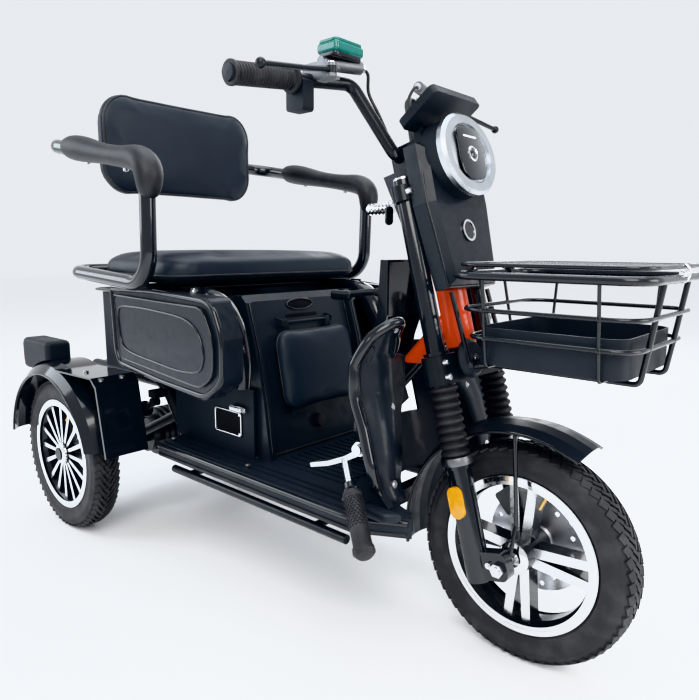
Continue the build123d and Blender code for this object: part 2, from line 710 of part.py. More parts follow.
# ---- fork and steering ---------------------------------------------------------------------
def fork_sliders():
    """The two lower fork legs, with the lugs that reach forward to the axle."""
    legs = None
    for side in (-1, 1):
        y = side * FORK_HALF
        leg = Pos(0, y, (SLIDER_TOP - 24) / 2) * Cylinder(SLIDER_R, SLIDER_TOP + 24)
        leg += Pos(0, y, SLIDER_TOP - 9) * Cylinder(SLIDER_R + 4, 18)
        lug = block(-12, FORK_OFFSET + 15, y - 11, y + 11, -20, 26)
        leg += fillet(lug.edges().filter_by(Axis.Y), 12)
        bore_low = 4
        leg -= Pos(0, y, (SLIDER_TOP + bore_low) / 2 + 1) * Cylinder(
            STANCHION_R + RUN, SLIDER_TOP - bore_low + 2)
        legs = leg if legs is None else legs + leg
    legs = on_steering(legs)
    return legs - rod_y(FRONT_AXLE_R, -140, 140, WHEELBASE, AXLE_Z)


def front_fender():
    """The front fender: a crowned arch over the wheel."""
    half = 50.0
    crown = FRONT_FENDER_R
    lip = FRONT_LIP_R
    wall = 3.0
    arch = [(lip, -half), (crown - 5, -30), (crown, -10), (crown, 10), (crown - 5, 30),
            (lip, half), (lip - wall, half - 2), (crown - 5 - wall, 28), (crown - wall, 9),
            (crown - wall, -9), (crown - 5 - wall, -28), (lip - wall, -half + 2)]
    ring = spun_about_y(arch, WHEELBASE, AXLE_Z)
    far = 400.0
    front = (WHEELBASE + far * cos(radians(62)), AXLE_Z + far * sin(radians(62)))
    rear = (WHEELBASE - far * cos(radians(10)), AXLE_Z - far * sin(radians(10)))
    wedge = side_prism([(WHEELBASE, AXLE_Z), front, (WHEELBASE, AXLE_Z + far),
                        (WHEELBASE - far, AXLE_Z + far), rear], -90, 90)
    return ring & wedge


def fender_stays():
    """The bent rods that hold the fender's lips off the axle lugs."""
    top = AXLE_Z + FRONT_LIP_R - 3 - GAP
    points = [(WHEELBASE + 8, FORK_HALF - 8, AXLE_Z + 12), (WHEELBASE + 10, 57, AXLE_Z + 66),
              (WHEELBASE - 4, 48, top)]
    return mirrored(pipe(points, 3.5, 14))


def brake_caliper():
    """The front brake caliper, straddling the disc beside the left fork leg."""
    body = block(-19, 19, DISC_Y - 9, FORK_HALF - SLIDER_R - GAP, 58, 102)
    body = fillet(body.edges().filter_by(Axis.Y), 6)
    slot = DISC_THICK / 2 + 0.6
    body -= rod_y(DISC_R + 3, DISC_Y - slot, DISC_Y + slot, 0, 0)
    place = Pos(WHEELBASE, 0, AXLE_Z) * Rot(0, -42, 0)
    return place * body


def front_axle():
    """The front wheel spindle with a nut against each axle lug."""
    end = FORK_HALF + 22
    axle = rod_y(FRONT_AXLE_R, -end, end, WHEELBASE, AXLE_Z)
    near = FORK_HALF + 11 + GAP
    for side in (-1, 1):
        nut = extrude(Plane.XZ * RegularPolygon(11.5, 6), amount=8, both=True)
        axle += Pos(WHEELBASE, side * (near + 4), AXLE_Z) * (nut & Box(40, 8, 40))
    return axle


def side_reflectors():
    """An oval reflector on the outer side of each slider."""
    near = FORK_HALF + SLIDER_R + GAP
    oval = extrude(Plane.XZ * RectangleRounded(25, 52, 12), amount=7)
    return on_steering(mirrored(Pos(0, near + 7, 110) * oval))


def steering_stem():
    """The stem with its two fork yokes, the handlebar clamp and the display's lug."""
    stem = Pos(0, 0, (YOKE_LOW + STEM_TOP) / 2) * Cylinder(STEM_R, STEM_TOP - YOKE_LOW)
    wide = FORK_HALF + STANCHION_R + 8
    depth = YOKE_DEPTH / 2
    tops = (YOKE_TOP_LOW, YOKE_TOP_THICK, YOKE_TOP_HALF)
    for low, tall, deep in ((YOKE_LOW, YOKE_THICK, depth), tops):
        yoke = block(-deep, deep, -wide, wide, low, low + tall)
        stem += fillet(yoke.edges().filter_by(Axis.Z), min(deep - 1, 16))
    clamp = block(-58, 14, -CLAMP_HALF, CLAMP_HALF, STEM_TOP - 10, STEM_TOP + 30)
    stem += fillet(clamp.edges().filter_by(Axis.Z), 8)
    lug = block(4, DASH_X + 9, -20, 20, DASH_Z - 12, DASH_Z + 8)
    stem += block(-10, DASH_X + 9, -20, 20, STEM_TOP + 8, DASH_Z - 4) + lug
    stem -= rod_y(DASH_PIN_R + RUN, -30, 30, DASH_X, DASH_Z)
    for side in (-1, 1):
        stem -= Pos(0, side * FORK_HALF, 500) * Cylinder(STANCHION_R, 500)
    return on_steering(stem) - handlebar_bar()


def stanchions():
    """The two upper fork tubes."""
    low = 60.0
    tall = STANCHION_TOP - low
    tube = Cylinder(STANCHION_R, tall) - Cylinder(STANCHION_R - 3, tall + 2)
    return on_steering(mirrored(Pos(0, FORK_HALF, low + tall / 2) * tube))


def fork_boots():
    """The ribbed rubber boots between the sliders and the lower yoke."""
    low = SLIDER_TOP + GAP
    high = YOKE_LOW - GAP
    pitch = (high - low) / BOOT_RIBS
    inner = STANCHION_R + 0.4
    outline = [(inner, low)]
    for index in range(BOOT_RIBS):
        z = low + index * pitch
        outline += [(BOOT_R - 4.5, z), (BOOT_R, z + pitch * 0.35), (BOOT_R, z + pitch * 0.65)]
    outline += [(BOOT_R - 4.5, high), (inner, high)]
    face = make_face(Polyline(*[(x, 0, z) for x, z in outline], close=True))
    boot = revolve(face, axis=Axis.Z)
    return on_steering(mirrored(Pos(0, FORK_HALF, 0) * boot))


def lamp_oval(x_from, x_to, half_y, half_z):
    """An oval block about the headlight's middle, between two depths."""
    face = Plane.YZ * Ellipse(half_y, half_z)
    return Pos(x_from, 0, LAMP_Z) * extrude(face, amount=x_to - x_from)


def fairing_outline(inset, low, high):
    """The fairing's front outline, in Y and along the steering axis."""
    points = [(74 - inset, low), (91 - inset, 592), (88 - inset, high),
              (-88 + inset, high), (-91 + inset, 592), (-74 + inset, low)]
    return Plane.YZ * make_face(Polyline(*points, close=True))


def front_fairing():
    """The column fairing: a bevelled front shell and a narrow rear cover."""
    wall = 4.0
    low, high = FAIRING_LOW, FAIRING_HIGH
    shell = extrude(fairing_outline(0, low, high), amount=FAIRING_FRONT - FAIRING_BACK)
    shell = chamfer(shell.faces().sort_by(Axis.X)[-1].edges(), 13)
    shell -= Pos(-1, 0, 0) * extrude(fairing_outline(wall, low + wall, high - wall),
                                     amount=FAIRING_FRONT - FAIRING_BACK - 13)
    shell = Pos(FAIRING_BACK, 0, 0) * shell
    shell -= lamp_oval(0, 200, LAMP_HALF_Y + GAP, LAMP_HALF_Z + GAP)
    shell -= Pos(0, 0, HEAD_TOP - 30) * Cylinder(HEAD_R + 2, 72)
    rear = side_prism([(15, 512), (-20, 512), (-53, 668), (15, 668)], -59, 59)
    rear -= side_prism([(16, 505), (-16.5, 505), (-49.5, 665), (16, 665)], -56, 56)
    rear -= Pos(0, 0, YOKE_TOP_LOW) * Cylinder(STEM_R + GAP, 300)
    rear -= block(-18, 20, -80, 80, YOKE_TOP_LOW - GAP, YOKE_TOP_LOW + YOKE_TOP_THICK + GAP)
    lock = Plane(origin=(-42, KEY_Y, KEY_Z), z_dir=(-1, 0, -0.21))
    boss = lock.location * (Cylinder(12, 24) - Pos(0, 0, 4) * Cylinder(4 + RUN, 24))
    rear = rear - lock.location * Cylinder(11, 23) + boss
    return on_steering(shell + rear)


def headlight_housing():
    """The oval bucket behind the headlight."""
    bucket = lamp_oval(LAMP_BACK, LAMP_FACE, LAMP_HALF_Y, LAMP_HALF_Z)
    bucket -= lamp_oval(LAMP_BACK + 4, LAMP_FACE + 1, LAMP_HALF_Y - 4, LAMP_HALF_Z - 4)
    arm = block(STEM_R + GAP, LAMP_BACK + 1, -18, 18, LAMP_Z - 20, LAMP_Z + 12)
    return on_steering(bucket + arm)


def headlight_bezel():
    """The bright oval ring around the lens."""
    ring = lamp_oval(LAMP_FACE + GAP, LAMP_FACE + 14, LAMP_HALF_Y + 2, LAMP_HALF_Z + 2)
    ring = chamfer(ring.faces().sort_by(Axis.X)[-1].edges(), 5)
    ring -= lamp_oval(LAMP_FACE - 1, LAMP_FACE + 20, LENS_HALF_Y + GAP, LENS_HALF_Z + GAP)
    return on_steering(ring)


def headlight_lens():
    """The dark lens with a projector behind it."""
    lens = lamp_oval(LAMP_FACE + 5, LAMP_FACE + 12, LENS_HALF_Y, LENS_HALF_Z)
    back = Pos(LAMP_FACE - 6, 0, LAMP_Z + 12) * Rot(0, 90, 0) * Cylinder(19, 23)
    plate = lamp_oval(LAMP_FACE + GAP - 10, LAMP_FACE - 4, LAMP_HALF_Y - 4.5, LAMP_HALF_Z - 4.5)
    return on_steering(lens + back + plate)


def bar_points():
    """The handlebar's run from the right end to the left end."""
    right = [(722, -BAR_HALF, 940), (722, -176, 957), (750, -84, 962), (810, -34, 842)]
    return right + [(x, -y, z) for x, y, z in reversed(right)]


def handlebar_bar():
    """The plain solid of the bent bar."""
    return pipe(bar_points(), BAR_R, 22)


def handlebar():
    """The bent handlebar."""
    return handlebar_bar()


def bar_place(side, y):
    """A place on the handlebar's outer run, at a distance from the middle."""
    share = (y - 176) / (BAR_HALF - 176)
    return Vector(722, side * y, 957 + (940 - 957) * share)


def grip(side, clearance):
    """A grip sleeve with an inner flange, over the outer run of the bar."""
    start = bar_place(side, GRIP_IN)
    end = bar_place(side, BAR_HALF - 1)
    flange = bar_place(side, GRIP_IN + 7)
    body = rod(start, end, GRIP_R) + rod(start, flange, GRIP_R + 5)
    beyond = bar_place(side, BAR_HALF + 5)
    before = bar_place(side, GRIP_IN - 5)
    return body - rod(before, beyond, BAR_R + clearance)


def master_cylinders():
    """The brake master cylinders, clamped over the bar, with the lever pivots."""
    body = rod((752, 162, 981), (770, 84, 985), 11)
    clamp = block(712, 768, 150, 164, 957, 984)
    body += clamp
    for low in (951.5, 967.5):
        ear = block(752, 786, 152, 172, low, low + 5)
        body += ear + Pos(LEVER_PIVOT_X, LEVER_PIVOT_Y, low + 2.5) * Cylinder(9, 5)
    body += Pos(LEVER_PIVOT_X, LEVER_PIVOT_Y, 962) * Cylinder(4, 20)
    body += block(756, 768, 152, 160, 951.5, 972)
    body = mirrored(body)
    return body - handlebar_bar()


def fluid_reservoir():
    """The low fluid reservoir on top of the right master cylinder."""
    return rounded_block(738, 784, -158, -88, RESERVOIR_LOW, RESERVOIR_TOP, 6)


def switch_pods():
    """The switch pods clamped under the bar."""
    pod = block(702, 742, 167, 192, 906, 956)
    pod = fillet(pod.edges().filter_by(Axis.Y), 6)
    return mirrored(pod) - handlebar_bar()


def brake_lever(side):
    """A brake lever with its pivot eye and ball end."""
    y = side * LEVER_PIVOT_Y
    hub = Pos(LEVER_PIVOT_X, y, 962) * (Cylinder(8.5, 9.6) - Cylinder(4 + RUN, 12))
    blade = pipe([(LEVER_PIVOT_X + 1, side * (LEVER_PIVOT_Y + 6), 962),
                  (LEVER_PIVOT_X - 2, side * 225, 955), (LEVER_PIVOT_X + 13, side * 328, 938)],
                 4.5, 60)
    blade -= Pos(LEVER_PIVOT_X, y, 962) * Cylinder(7, 12)
    tip = Pos(LEVER_PIVOT_X + 13, side * 328, 938) * Sphere(8)
    return hub + blade + tip


def display():
    """The display plate on its tilting pin."""
    rear = (4.6, 741.7)
    slope = atan2(773.9 - 741.7, 81.6 - 4.6)
    deep = 84.0
    plate = block(0, deep, -70, 70, -15, 0)
    plate = fillet(plate.edges().filter_by(Axis.Z), 10)
    shape = Pos(rear[0], 0, rear[1]) * Rot(0, -degrees(slope), 0) * plate
    for side in (-1, 1):
        near, far = side * (CLAMP_HALF + GAP), side * EAR_OUT
        ear = side_prism([(DASH_X - 7, DASH_Z - 7), (DASH_X + 7, DASH_Z - 7), (DASH_X + 11, 738),
                          (DASH_X - 5, 732)], near, far)
        shape += ear
    shape += rod_y(DASH_PIN_R, -EAR_OUT, EAR_OUT, DASH_X, DASH_Z)
    return on_steering(shape)


def ignition_key():
    """The key in its lock: a stem, a bow and a split ring."""
    lock = Plane(origin=(-42, KEY_Y, KEY_Z), z_dir=(-1, 0, -0.21))
    key = Pos(0, 0, 5) * Cylinder(4, 17) + Pos(0, 0, 21) * Box(3, 20, 16)
    return on_steering(lock.location * key)


# ---- basket --------------------------------------------------------------------------------
def wire_loop(x_from, x_to, half, z, corner, radius):
    """A closed wire loop, seen from above as a rounded rectangle."""
    outline = RectangleRounded(x_to - x_from, 2 * half, corner)
    path = (Pos((x_from + x_to) / 2, 0, z) * outline).wires()[0]
    start = Plane(origin=path @ 0, z_dir=path % 0)
    return sweep(start * Circle(radius), path=path)


def basket_frame():
    """The wire basket: rim, two lower loops, cross wires and its two bearer rods."""
    front = FRONT_END - RIM_ROD_R
    basket = wire_loop(BASKET_REAR, front, BASKET_HALF, BASKET_TOP, 40, RIM_ROD_R)
    basket += wire_loop(BASKET_REAR + 14, front - 8, BASKET_HALF - 7, 595, 40, BASKET_ROD_R)
    basket += wire_loop(BASKET_REAR + 22, front - 16, BASKET_HALF - 13, 553, 40, BASKET_ROD_R)
    low = BASKET_LOW
    root = steer_point(YOKE_DEPTH / 2 + 22, 0, YOKE_LOW + 20)
    top = steer_point(YOKE_DEPTH / 2 + 14, 0, 446)
    for side in (-1, 1):
        y = side * 57
        bearer = [(top.X, y, top.Z), (root.X, y, root.Z), (1030, y, low), (front - 24, y, low),
                  (front - 16, y, 553), (front - 3, y, BASKET_TOP - 2)]
        basket += pipe(bearer, BASKET_ROD_R + 0.5, 10)
        for x in (BASKET_REAR + 60, front - 60):
            wire = [(x, 0, low + 6), (x, side * (BASKET_HALF - 20), low + 6),
                    (x, side * (BASKET_HALF - 13), 553), (x, side * BASKET_HALF, BASKET_TOP)]
            basket += pipe(wire, 2.5, 8)
        basket += rod((BASKET_REAR + 40, y * 0.5, low + 6), (front - 44, y * 0.5, low + 6), 2.5)
        basket += rod((BASKET_REAR + 22, y * 0.7, 553), (BASKET_REAR + 3, y * 0.7, BASKET_TOP), 2.5)
    for x in (1036, front - 52):
        basket += rod_y(3.5, -60, 60, x, low + 1)
    plate = block(YOKE_DEPTH / 2 + GAP, YOKE_DEPTH / 2 + 30, -62, 62, YOKE_LOW + 18, YOKE_LOW + 26)
    return basket + on_steering(plate)


def basket_tray():
    """The shallow tray inside the basket."""
    low = BASKET_LOW + 9 + GAP
    x_from, x_to = BASKET_REAR + 36, FRONT_END - RIM_ROD_R - 30
    half = TRAY_HALF
    tray = block(x_from, x_to, -half, half, low, TRAY_TOP)
    tray = fillet(tray.edges().filter_by(Axis.Z), 30)
    hollow = block(x_from + 3, x_to - 3, 3 - half, half - 3, low + 3, TRAY_TOP + 10)
    return tray - fillet(hollow.edges().filter_by(Axis.Z), 27)


def basket_lid():
    """The wire lid, hinged on the basket's rear rim rod."""
    front = FRONT_END - RIM_ROD_R - 2
    half = BASKET_HALF - 6
    lid = wire_loop(BASKET_REAR + 8, front, half, LID_Z, 36, LID_ROD_R)
    for index in range(-2, 3):
        y = index * 41
        lid += rod((BASKET_REAR + 8, y, LID_Z), (front, y, LID_Z), 2)
    for side in (-1, 1):
        y = side * 62
        lid += rod_y(RIM_ROD_R + 4, y - 8, y + 8, BASKET_REAR, BASKET_TOP)
        lid += rod((BASKET_REAR, y, BASKET_TOP + 7), (BASKET_REAR + 9, y, LID_Z), 3)
    lid -= rod_y(RIM_ROD_R + RUN, -80, 80, BASKET_REAR, BASKET_TOP)
    return lid


# ---- controls near the floor ---------------------------------------------------------------
def pedal_arm():
    """The foot pedal's curved flat arm, its pivot eye and the peg that carries the rubber."""
    top = [(PEDAL_X + 8, PEDAL_Z + 6), (838, 344), (800, 327), (758, 314)]
    low = [(760, 307), (802, 319), (841, 336), (PEDAL_X + 10, PEDAL_Z - 6)]
    arm = side_prism(top + low, PEDAL_Y - 11, PEDAL_Y + 11)
    arm += rod_y(12, PEDAL_Y - 13, PEDAL_Y + 13, PEDAL_X, PEDAL_Z)
    arm -= rod_y(6 + RUN, PEDAL_Y - 20, PEDAL_Y + 20, PEDAL_X, PEDAL_Z)
    return arm + rod(PEG_TOP, PEG_END, 6.5)


def pedal_rubber():
    """The rubber sleeve on the pedal's peg."""
    line = Line(PEG_TOP, PEG_END)
    start, end = line @ 0.4, line @ 1.0
    tip = line @ 1.04
    return rod(start, tip, 16) - rod(start - (end - start) * 0.1, end, 6.5)


def pedal_bracket():
    """The pedal's pivot pin and its carrier behind the right shield."""
    pin = rod_y(6, PEDAL_Y - 16, PEDAL_Y + 40, PEDAL_X, PEDAL_Z)
    return pin + block(PEDAL_X - 8, PEDAL_X + 20, PEDAL_Y + 22, PEDAL_Y + 30, PEDAL_Z - 22,
                       PEDAL_Z + 14)


def parking_lever():
    """The hand lever of the parking brake."""
    hub = ring_y(12, 5 + RUN, LEVER_Y - 13, LEVER_Y + 13, LEVER_X, LEVER_Z)
    points = [(LEVER_X - 9, LEVER_Y, LEVER_Z), (LEVER_X - 70, LEVER_Y, LEVER_Z - 2),
              (LEVER_X - 118, LEVER_Y, LEVER_Z - 8)]
    shaft = pipe(points, 7, 60)
    paddle = rounded_block(LEVER_X - 172, LEVER_X - 114, LEVER_Y - 11, LEVER_Y + 11,
                           LEVER_Z - 22, LEVER_Z - 2, 8)
    return hub + shaft + paddle


def child_pad():
    """The child's back pad on the front cover, with its two hinge eyes."""
    low = 362.0
    slope = (573 - 551) / (486 - 388)
    back = PAD_PIN_X - 2
    drop = (PAD_Z - low) * slope
    outline = [(back, PAD_Z), (back + drop, low), (back + drop + 36, low), (back + 34, PAD_Z)]
    pad = side_prism(outline, -106, 106)
    pad = fillet(pad.edges().filter_by(Axis.X), 20)
    pin_z = PAD_Z + 12
    for y in (-PAD_LUG_Y, PAD_LUG_Y):
        pad += block(PAD_PIN_X - 2, PAD_PIN_X + 7, y - 8, y + 8, PAD_Z - 4, pin_z)
        pad += rod_y(7, y - 8, y + 8, PAD_PIN_X, pin_z)
    return pad - rod_y(PAD_PIN_R + RUN, -90, 90, PAD_PIN_X, pin_z)


# ---- seat ----------------------------------------------------------------------------------
def seat_loop(side):
    """Half of the seat's tube, from behind the backrest to behind the cushion."""
    y = side * SEAT_TUBE_Y
    corners = [(ARM_REAR, 0), (ARM_REAR, y), (ARM_FRONT, y), (ARM_FOOT, y), (TUBE_REAR, y),
               (TUBE_REAR, 0)]
    points = [(x, across, z) for (x, z), across in corners]
    path = FilletPolyline(*points, radius=[55, ARM_BEND, 62, 50])
    start = Plane(origin=path @ 0, z_dir=path % 0)
    return sweep(start * (Circle(SEAT_TUBE_R) - Circle(SEAT_TUBE_R - 2)), path=path)


def seat_frame():
    """The looped seat tube with its cross tubes, hinge lugs and backrest plates."""
    frame = seat_loop(-1) + seat_loop(1)
    for x in (300, 392):
        frame += rod_y(8, -TUB_HALF, TUB_HALF, x, SEAT_PIN_Z + 1)
        strap = block(x - 12, x + 12, TUB_HALF - 6, SEAT_TUBE_Y - 5, SEAT_PIN_Z + 4.6,
                      SEAT_PIN_Z + 8.9)
        frame += mirrored(strap)
    for side in (-1, 1):
        near, far = side * (HINGE_Y - 20), side * (HINGE_Y - 14)
        frame += block(300, SEAT_PIN_X + 8, min(near, far), max(near, far),
                       SEAT_PIN_Z - 7, SEAT_PIN_Z + 8)
        frame += rod_y(SEAT_PIN_R, near, side * (HINGE_Y + 4), SEAT_PIN_X, SEAT_PIN_Z)
        frame += block(60 + SEAT_TUBE_R - 4, 76.5, side * 105 - 15, side * 105 + 15, 862, 950)
    return frame


def seat_cushion():
    """The seat cushion's plain solid."""
    low = SEAT_PIN_Z + 9 + GAP
    pad = block(CUSHION_REAR, CUSHION_FRONT, -CUSHION_HALF, CUSHION_HALF, low,
                low + CUSHION_THICK)
    pad = fillet(pad.edges().filter_by(Axis.Z), 55)
    return fillet(pad.faces().sort_by(Axis.Z)[-1].edges(), 14)


def backrest():
    """The backrest's plain solid."""
    pad = block(77, 77 + BACKREST_THICK, -BACKREST_HALF, BACKREST_HALF, BACKREST_LOW,
                BACKREST_TOP)
    pad = fillet(pad.edges().filter_by(Axis.X), 60)
    return fillet(pad.faces().sort_by(Axis.X)[-1].edges(), 12)


def arm_pads():
    """The soft sleeves over the two arms of the seat tube."""
    rear = Line(ARM_FRONT, ARM_REAR) @ 0.63
    foot = Line(ARM_FRONT, ARM_FOOT) @ 0.16
    places = [(rear.X, rear.Y), ARM_FRONT, (foot.X, foot.Y)]
    path = FilletPolyline(*[(x, SEAT_TUBE_Y, z) for x, z in places], radius=ARM_BEND)
    start = Plane(origin=path @ 0, z_dir=path % 0)
    return mirrored(sweep(start * (Circle(23) - Circle(SEAT_TUBE_R + RUN)), path=path))


# ---- writing the nodes ---------------------------------------------------------------------
NODES = {
    "main_frame": main_frame,
    "frame_neck": frame_neck,
    "floorboard": floorboard,
    "floor_edge_bars": floor_edge_bars,
    "leg_shields": leg_shields,
    "knee_panel": knee_panel,
    "seat_box": seat_box,
    "box_front_cover": box_front_cover,
    "side_cases": side_cases,
    "lower_side_panels": lower_side_panels,
    "rear_fenders": rear_fenders,
    "tail_lamps": tail_lamps,
    "seat_brackets": seat_brackets,
    "battery_and_controller": battery_and_controller,
    "return_spring": return_spring,
    "charge_socket": charge_socket,
    "axle_beam": axle_beam,
    "drive_motor": drive_motor,
    "brake_drums": brake_drums,
    "rear_shocks": rear_shocks,
    "rear_tyre_right": lambda: tyre(0, -WHEEL_Y),
    "rear_tyre_left": lambda: tyre(0, WHEEL_Y),
    "rear_rim_right": lambda: rear_rim(-1),
    "rear_rim_left": lambda: rear_rim(1),
    "fork_sliders": lambda: fork_sliders() + fender_stays(),
    "front_fender": front_fender,
    "brake_caliper": brake_caliper,
    "front_axle": front_axle,
    "side_reflectors": side_reflectors,
    "front_tyre": lambda: tyre(WHEELBASE, 0),
    "front_rim": front_rim,
    "brake_disc": brake_disc,
    "steering_stem": steering_stem,
    "stanchions": stanchions,
    "fork_boots": fork_boots,
    "front_fairing": front_fairing,
    "headlight_housing": headlight_housing,
    "headlight_bezel": headlight_bezel,
    "headlight_lens": headlight_lens,
    "handlebar": handlebar,
    "left_grip": lambda: grip(1, 0.0),
    "master_cylinders": master_cylinders,
    "fluid_reservoir": fluid_reservoir,
    "switch_pods": switch_pods,
    "basket_frame": basket_frame,
    "basket_tray": basket_tray,
    "display": display,
    "throttle_grip": lambda: grip(-1, RUN),
    "brake_lever_right": lambda: brake_lever(-1),
    "brake_lever_left": lambda: brake_lever(1),
    "pedal_arm": pedal_arm,
    "pedal_rubber": pedal_rubber,
    "parking_lever": parking_lever,
    "child_pad": child_pad,
    "seat_frame": seat_frame,
    "seat_cushion": seat_cushion,
    "backrest": backrest,
    "arm_pads": arm_pads,
    "basket_lid": basket_lid,
    "ignition_key": ignition_key,
}


def write_nodes():
    """Build every node, move it onto the footprint's middle and write it."""
    os.makedirs("parts", exist_ok=True)
    for name, build in NODES.items():
        shape = Pos(-ORIGIN_X, 0, 0) * build()
        export_step(shape, os.path.join("parts", name + ".step"))


if __name__ == "__main__":
    write_nodes()
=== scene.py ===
import json
from math import cos, pi, radians, sin, sqrt

import bmesh
import bpy
from bpy.props import FloatProperty, FloatVectorProperty, IntProperty, PointerProperty
from mathutils import Matrix, Vector
from mathutils.bvhtree import BVHTree


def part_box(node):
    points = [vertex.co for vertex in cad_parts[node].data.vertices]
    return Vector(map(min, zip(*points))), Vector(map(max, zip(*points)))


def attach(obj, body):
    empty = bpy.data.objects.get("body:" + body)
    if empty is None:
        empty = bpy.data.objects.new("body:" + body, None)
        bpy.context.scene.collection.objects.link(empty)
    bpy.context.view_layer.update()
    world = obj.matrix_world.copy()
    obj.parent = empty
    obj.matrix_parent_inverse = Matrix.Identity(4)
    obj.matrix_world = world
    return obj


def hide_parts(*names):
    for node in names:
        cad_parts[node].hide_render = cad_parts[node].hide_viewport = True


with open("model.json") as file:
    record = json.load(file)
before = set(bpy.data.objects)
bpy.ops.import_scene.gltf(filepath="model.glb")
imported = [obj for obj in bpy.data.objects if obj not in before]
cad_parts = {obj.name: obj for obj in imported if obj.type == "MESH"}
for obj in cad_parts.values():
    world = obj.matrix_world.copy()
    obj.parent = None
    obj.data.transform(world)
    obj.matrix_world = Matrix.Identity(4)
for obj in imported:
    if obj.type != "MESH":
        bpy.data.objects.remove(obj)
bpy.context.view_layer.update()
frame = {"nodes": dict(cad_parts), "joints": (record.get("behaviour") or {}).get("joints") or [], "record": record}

bl_info = {
    "name": "Three-wheel scooter",
    "version": (1, 0, 0),
    "blender": (4, 5, 0),
    "location": "View3D > Sidebar > Scooter",
    "description": "Builds the looks of a three-wheel electric scooter around its frame",
    "category": "Add Mesh",
}

# ---- places ----------------------------------------------------------------------------------
# Sizes below are millimetres from the rear axle: x forward, y to the rider's left, z up.
JOINTS = {joint["name"]: joint for joint in frame["joints"]}
REAR_AXLE = Vector(JOINTS["rear_wheel_left_spin"]["pos_m"])
FRONT_AXLE = Vector(JOINTS["front_wheel_spin"]["pos_m"])
STEER_UP = Vector(JOINTS["steering"]["axis"]).normalized()
MM = 0.001
WHEELBASE = (FRONT_AXLE.x - REAR_AXLE.x) / MM
AXLE_Z = REAR_AXLE.z / MM
WHEEL_Y = REAR_AXLE.y / MM
FORK_OFFSET = 45.0
STEER_AHEAD = Vector((STEER_UP.z, 0, -STEER_UP.x))
FORK_FOOT = FRONT_AXLE - STEER_AHEAD * FORK_OFFSET * MM


def at(x, y, z):
    """A place in millimetres from the rear axle, as metres in the frame."""
    return Vector((REAR_AXLE.x + x * MM, y * MM, z * MM))


def on_fork(x, y, z):
    """A place ahead of, across and up the steering axis, as millimetres from the rear axle."""
    place = FORK_FOOT + (STEER_AHEAD * x + STEER_UP * z) * MM
    return Vector(((place.x - REAR_AXLE.x) / MM, y, place.z / MM))


# ---- materials -------------------------------------------------------------------------------
def start_material(name, color, rough, metal=0.0, coat=0.0, specular=0.3):
    """A material with its shader's plain values set, ready for texture nodes."""
    material = bpy.data.materials.new(name)
    material.use_nodes = True
    shader = material.node_tree.nodes["Principled BSDF"]
    shader.inputs["Base Color"].default_value = (*color, 1)
    shader.inputs["Roughness"].default_value = rough
    shader.inputs["Metallic"].default_value = metal
    shader.inputs["Coat Weight"].default_value = coat
    shader.inputs["Coat Roughness"].default_value = 0.06
    shader.inputs["Specular IOR Level"].default_value = specular
    material.diffuse_color = (*color, 1)
    return material, material.node_tree, shader


def coordinates(tree, stretch=(1, 1, 1)):
    """Object coordinates through a Mapping node."""
    source = tree.nodes.new("ShaderNodeTexCoord")
    mapping = tree.nodes.new("ShaderNodeMapping")
    mapping.inputs["Scale"].default_value = stretch
    tree.links.new(source.outputs["Object"], mapping.inputs["Vector"])
    return mapping.outputs["Vector"]


def noise(tree, vector, scale, detail=3.0):
    """A noise texture's value."""
    texture = tree.nodes.new("ShaderNodeTexNoise")
    texture.inputs["Scale"].default_value = scale
    texture.inputs["Detail"].default_value = detail
    tree.links.new(vector, texture.inputs["Vector"])
    return texture.outputs["Fac"]


def spread(tree, value, low, high, start=0.3, end=0.7):
    """A value mapped from start..end onto low..high."""
    node = tree.nodes.new("ShaderNodeMapRange")
    node.inputs["From Min"].default_value = start
    node.inputs["From Max"].default_value = end
    node.inputs["To Min"].default_value = low
    node.inputs["To Max"].default_value = high
    tree.links.new(value, node.inputs["Value"])
    return node.outputs["Result"]


def mix_colors(tree, factor, first, second):
    """A colour between two, by a factor."""
    node = tree.nodes.new("ShaderNodeMix")
    node.data_type = "RGBA"
    node.inputs["A"].default_value = (*first, 1)
    node.inputs["B"].default_value = (*second, 1)
    tree.links.new(factor, node.inputs["Factor"])
    return node.outputs["Result"]


def bump(tree, shader, height, strength, distance):
    """Send a height to the shader's normal, after any bump that is there already."""
    node = tree.nodes.new("ShaderNodeBump")
    node.inputs["Strength"].default_value = strength
    node.inputs["Distance"].default_value = distance
    tree.links.new(height, node.inputs["Height"])
    old = shader.inputs["Normal"].links
    if old:
        tree.links.new(old[0].from_socket, node.inputs["Normal"])
    tree.links.new(node.outputs["Normal"], shader.inputs["Normal"])


def scale_color(color, factor):
    """A colour made lighter or darker."""
    return tuple(min(1.0, part * factor) for part in color)


def painted(name, color, rough, coat, ripple=0.15):
    """Paint: faint mottling, a slow ripple in the gloss and fine dust."""
    material, tree, shader = start_material(name, color, rough, coat=coat)
    vector = coordinates(tree)
    cloud = noise(tree, vector, 9, 4)
    tone = mix_colors(tree, cloud, scale_color(color, 0.8), scale_color(color, 1.35))
    tree.links.new(tone, shader.inputs["Base Color"])
    dust = spread(tree, noise(tree, vector, 60, 5), rough * 0.8, rough * 1.35)
    tree.links.new(dust, shader.inputs["Roughness"])
    bump(tree, shader, noise(tree, vector, 220, 2), ripple, 0.0004)
    return material


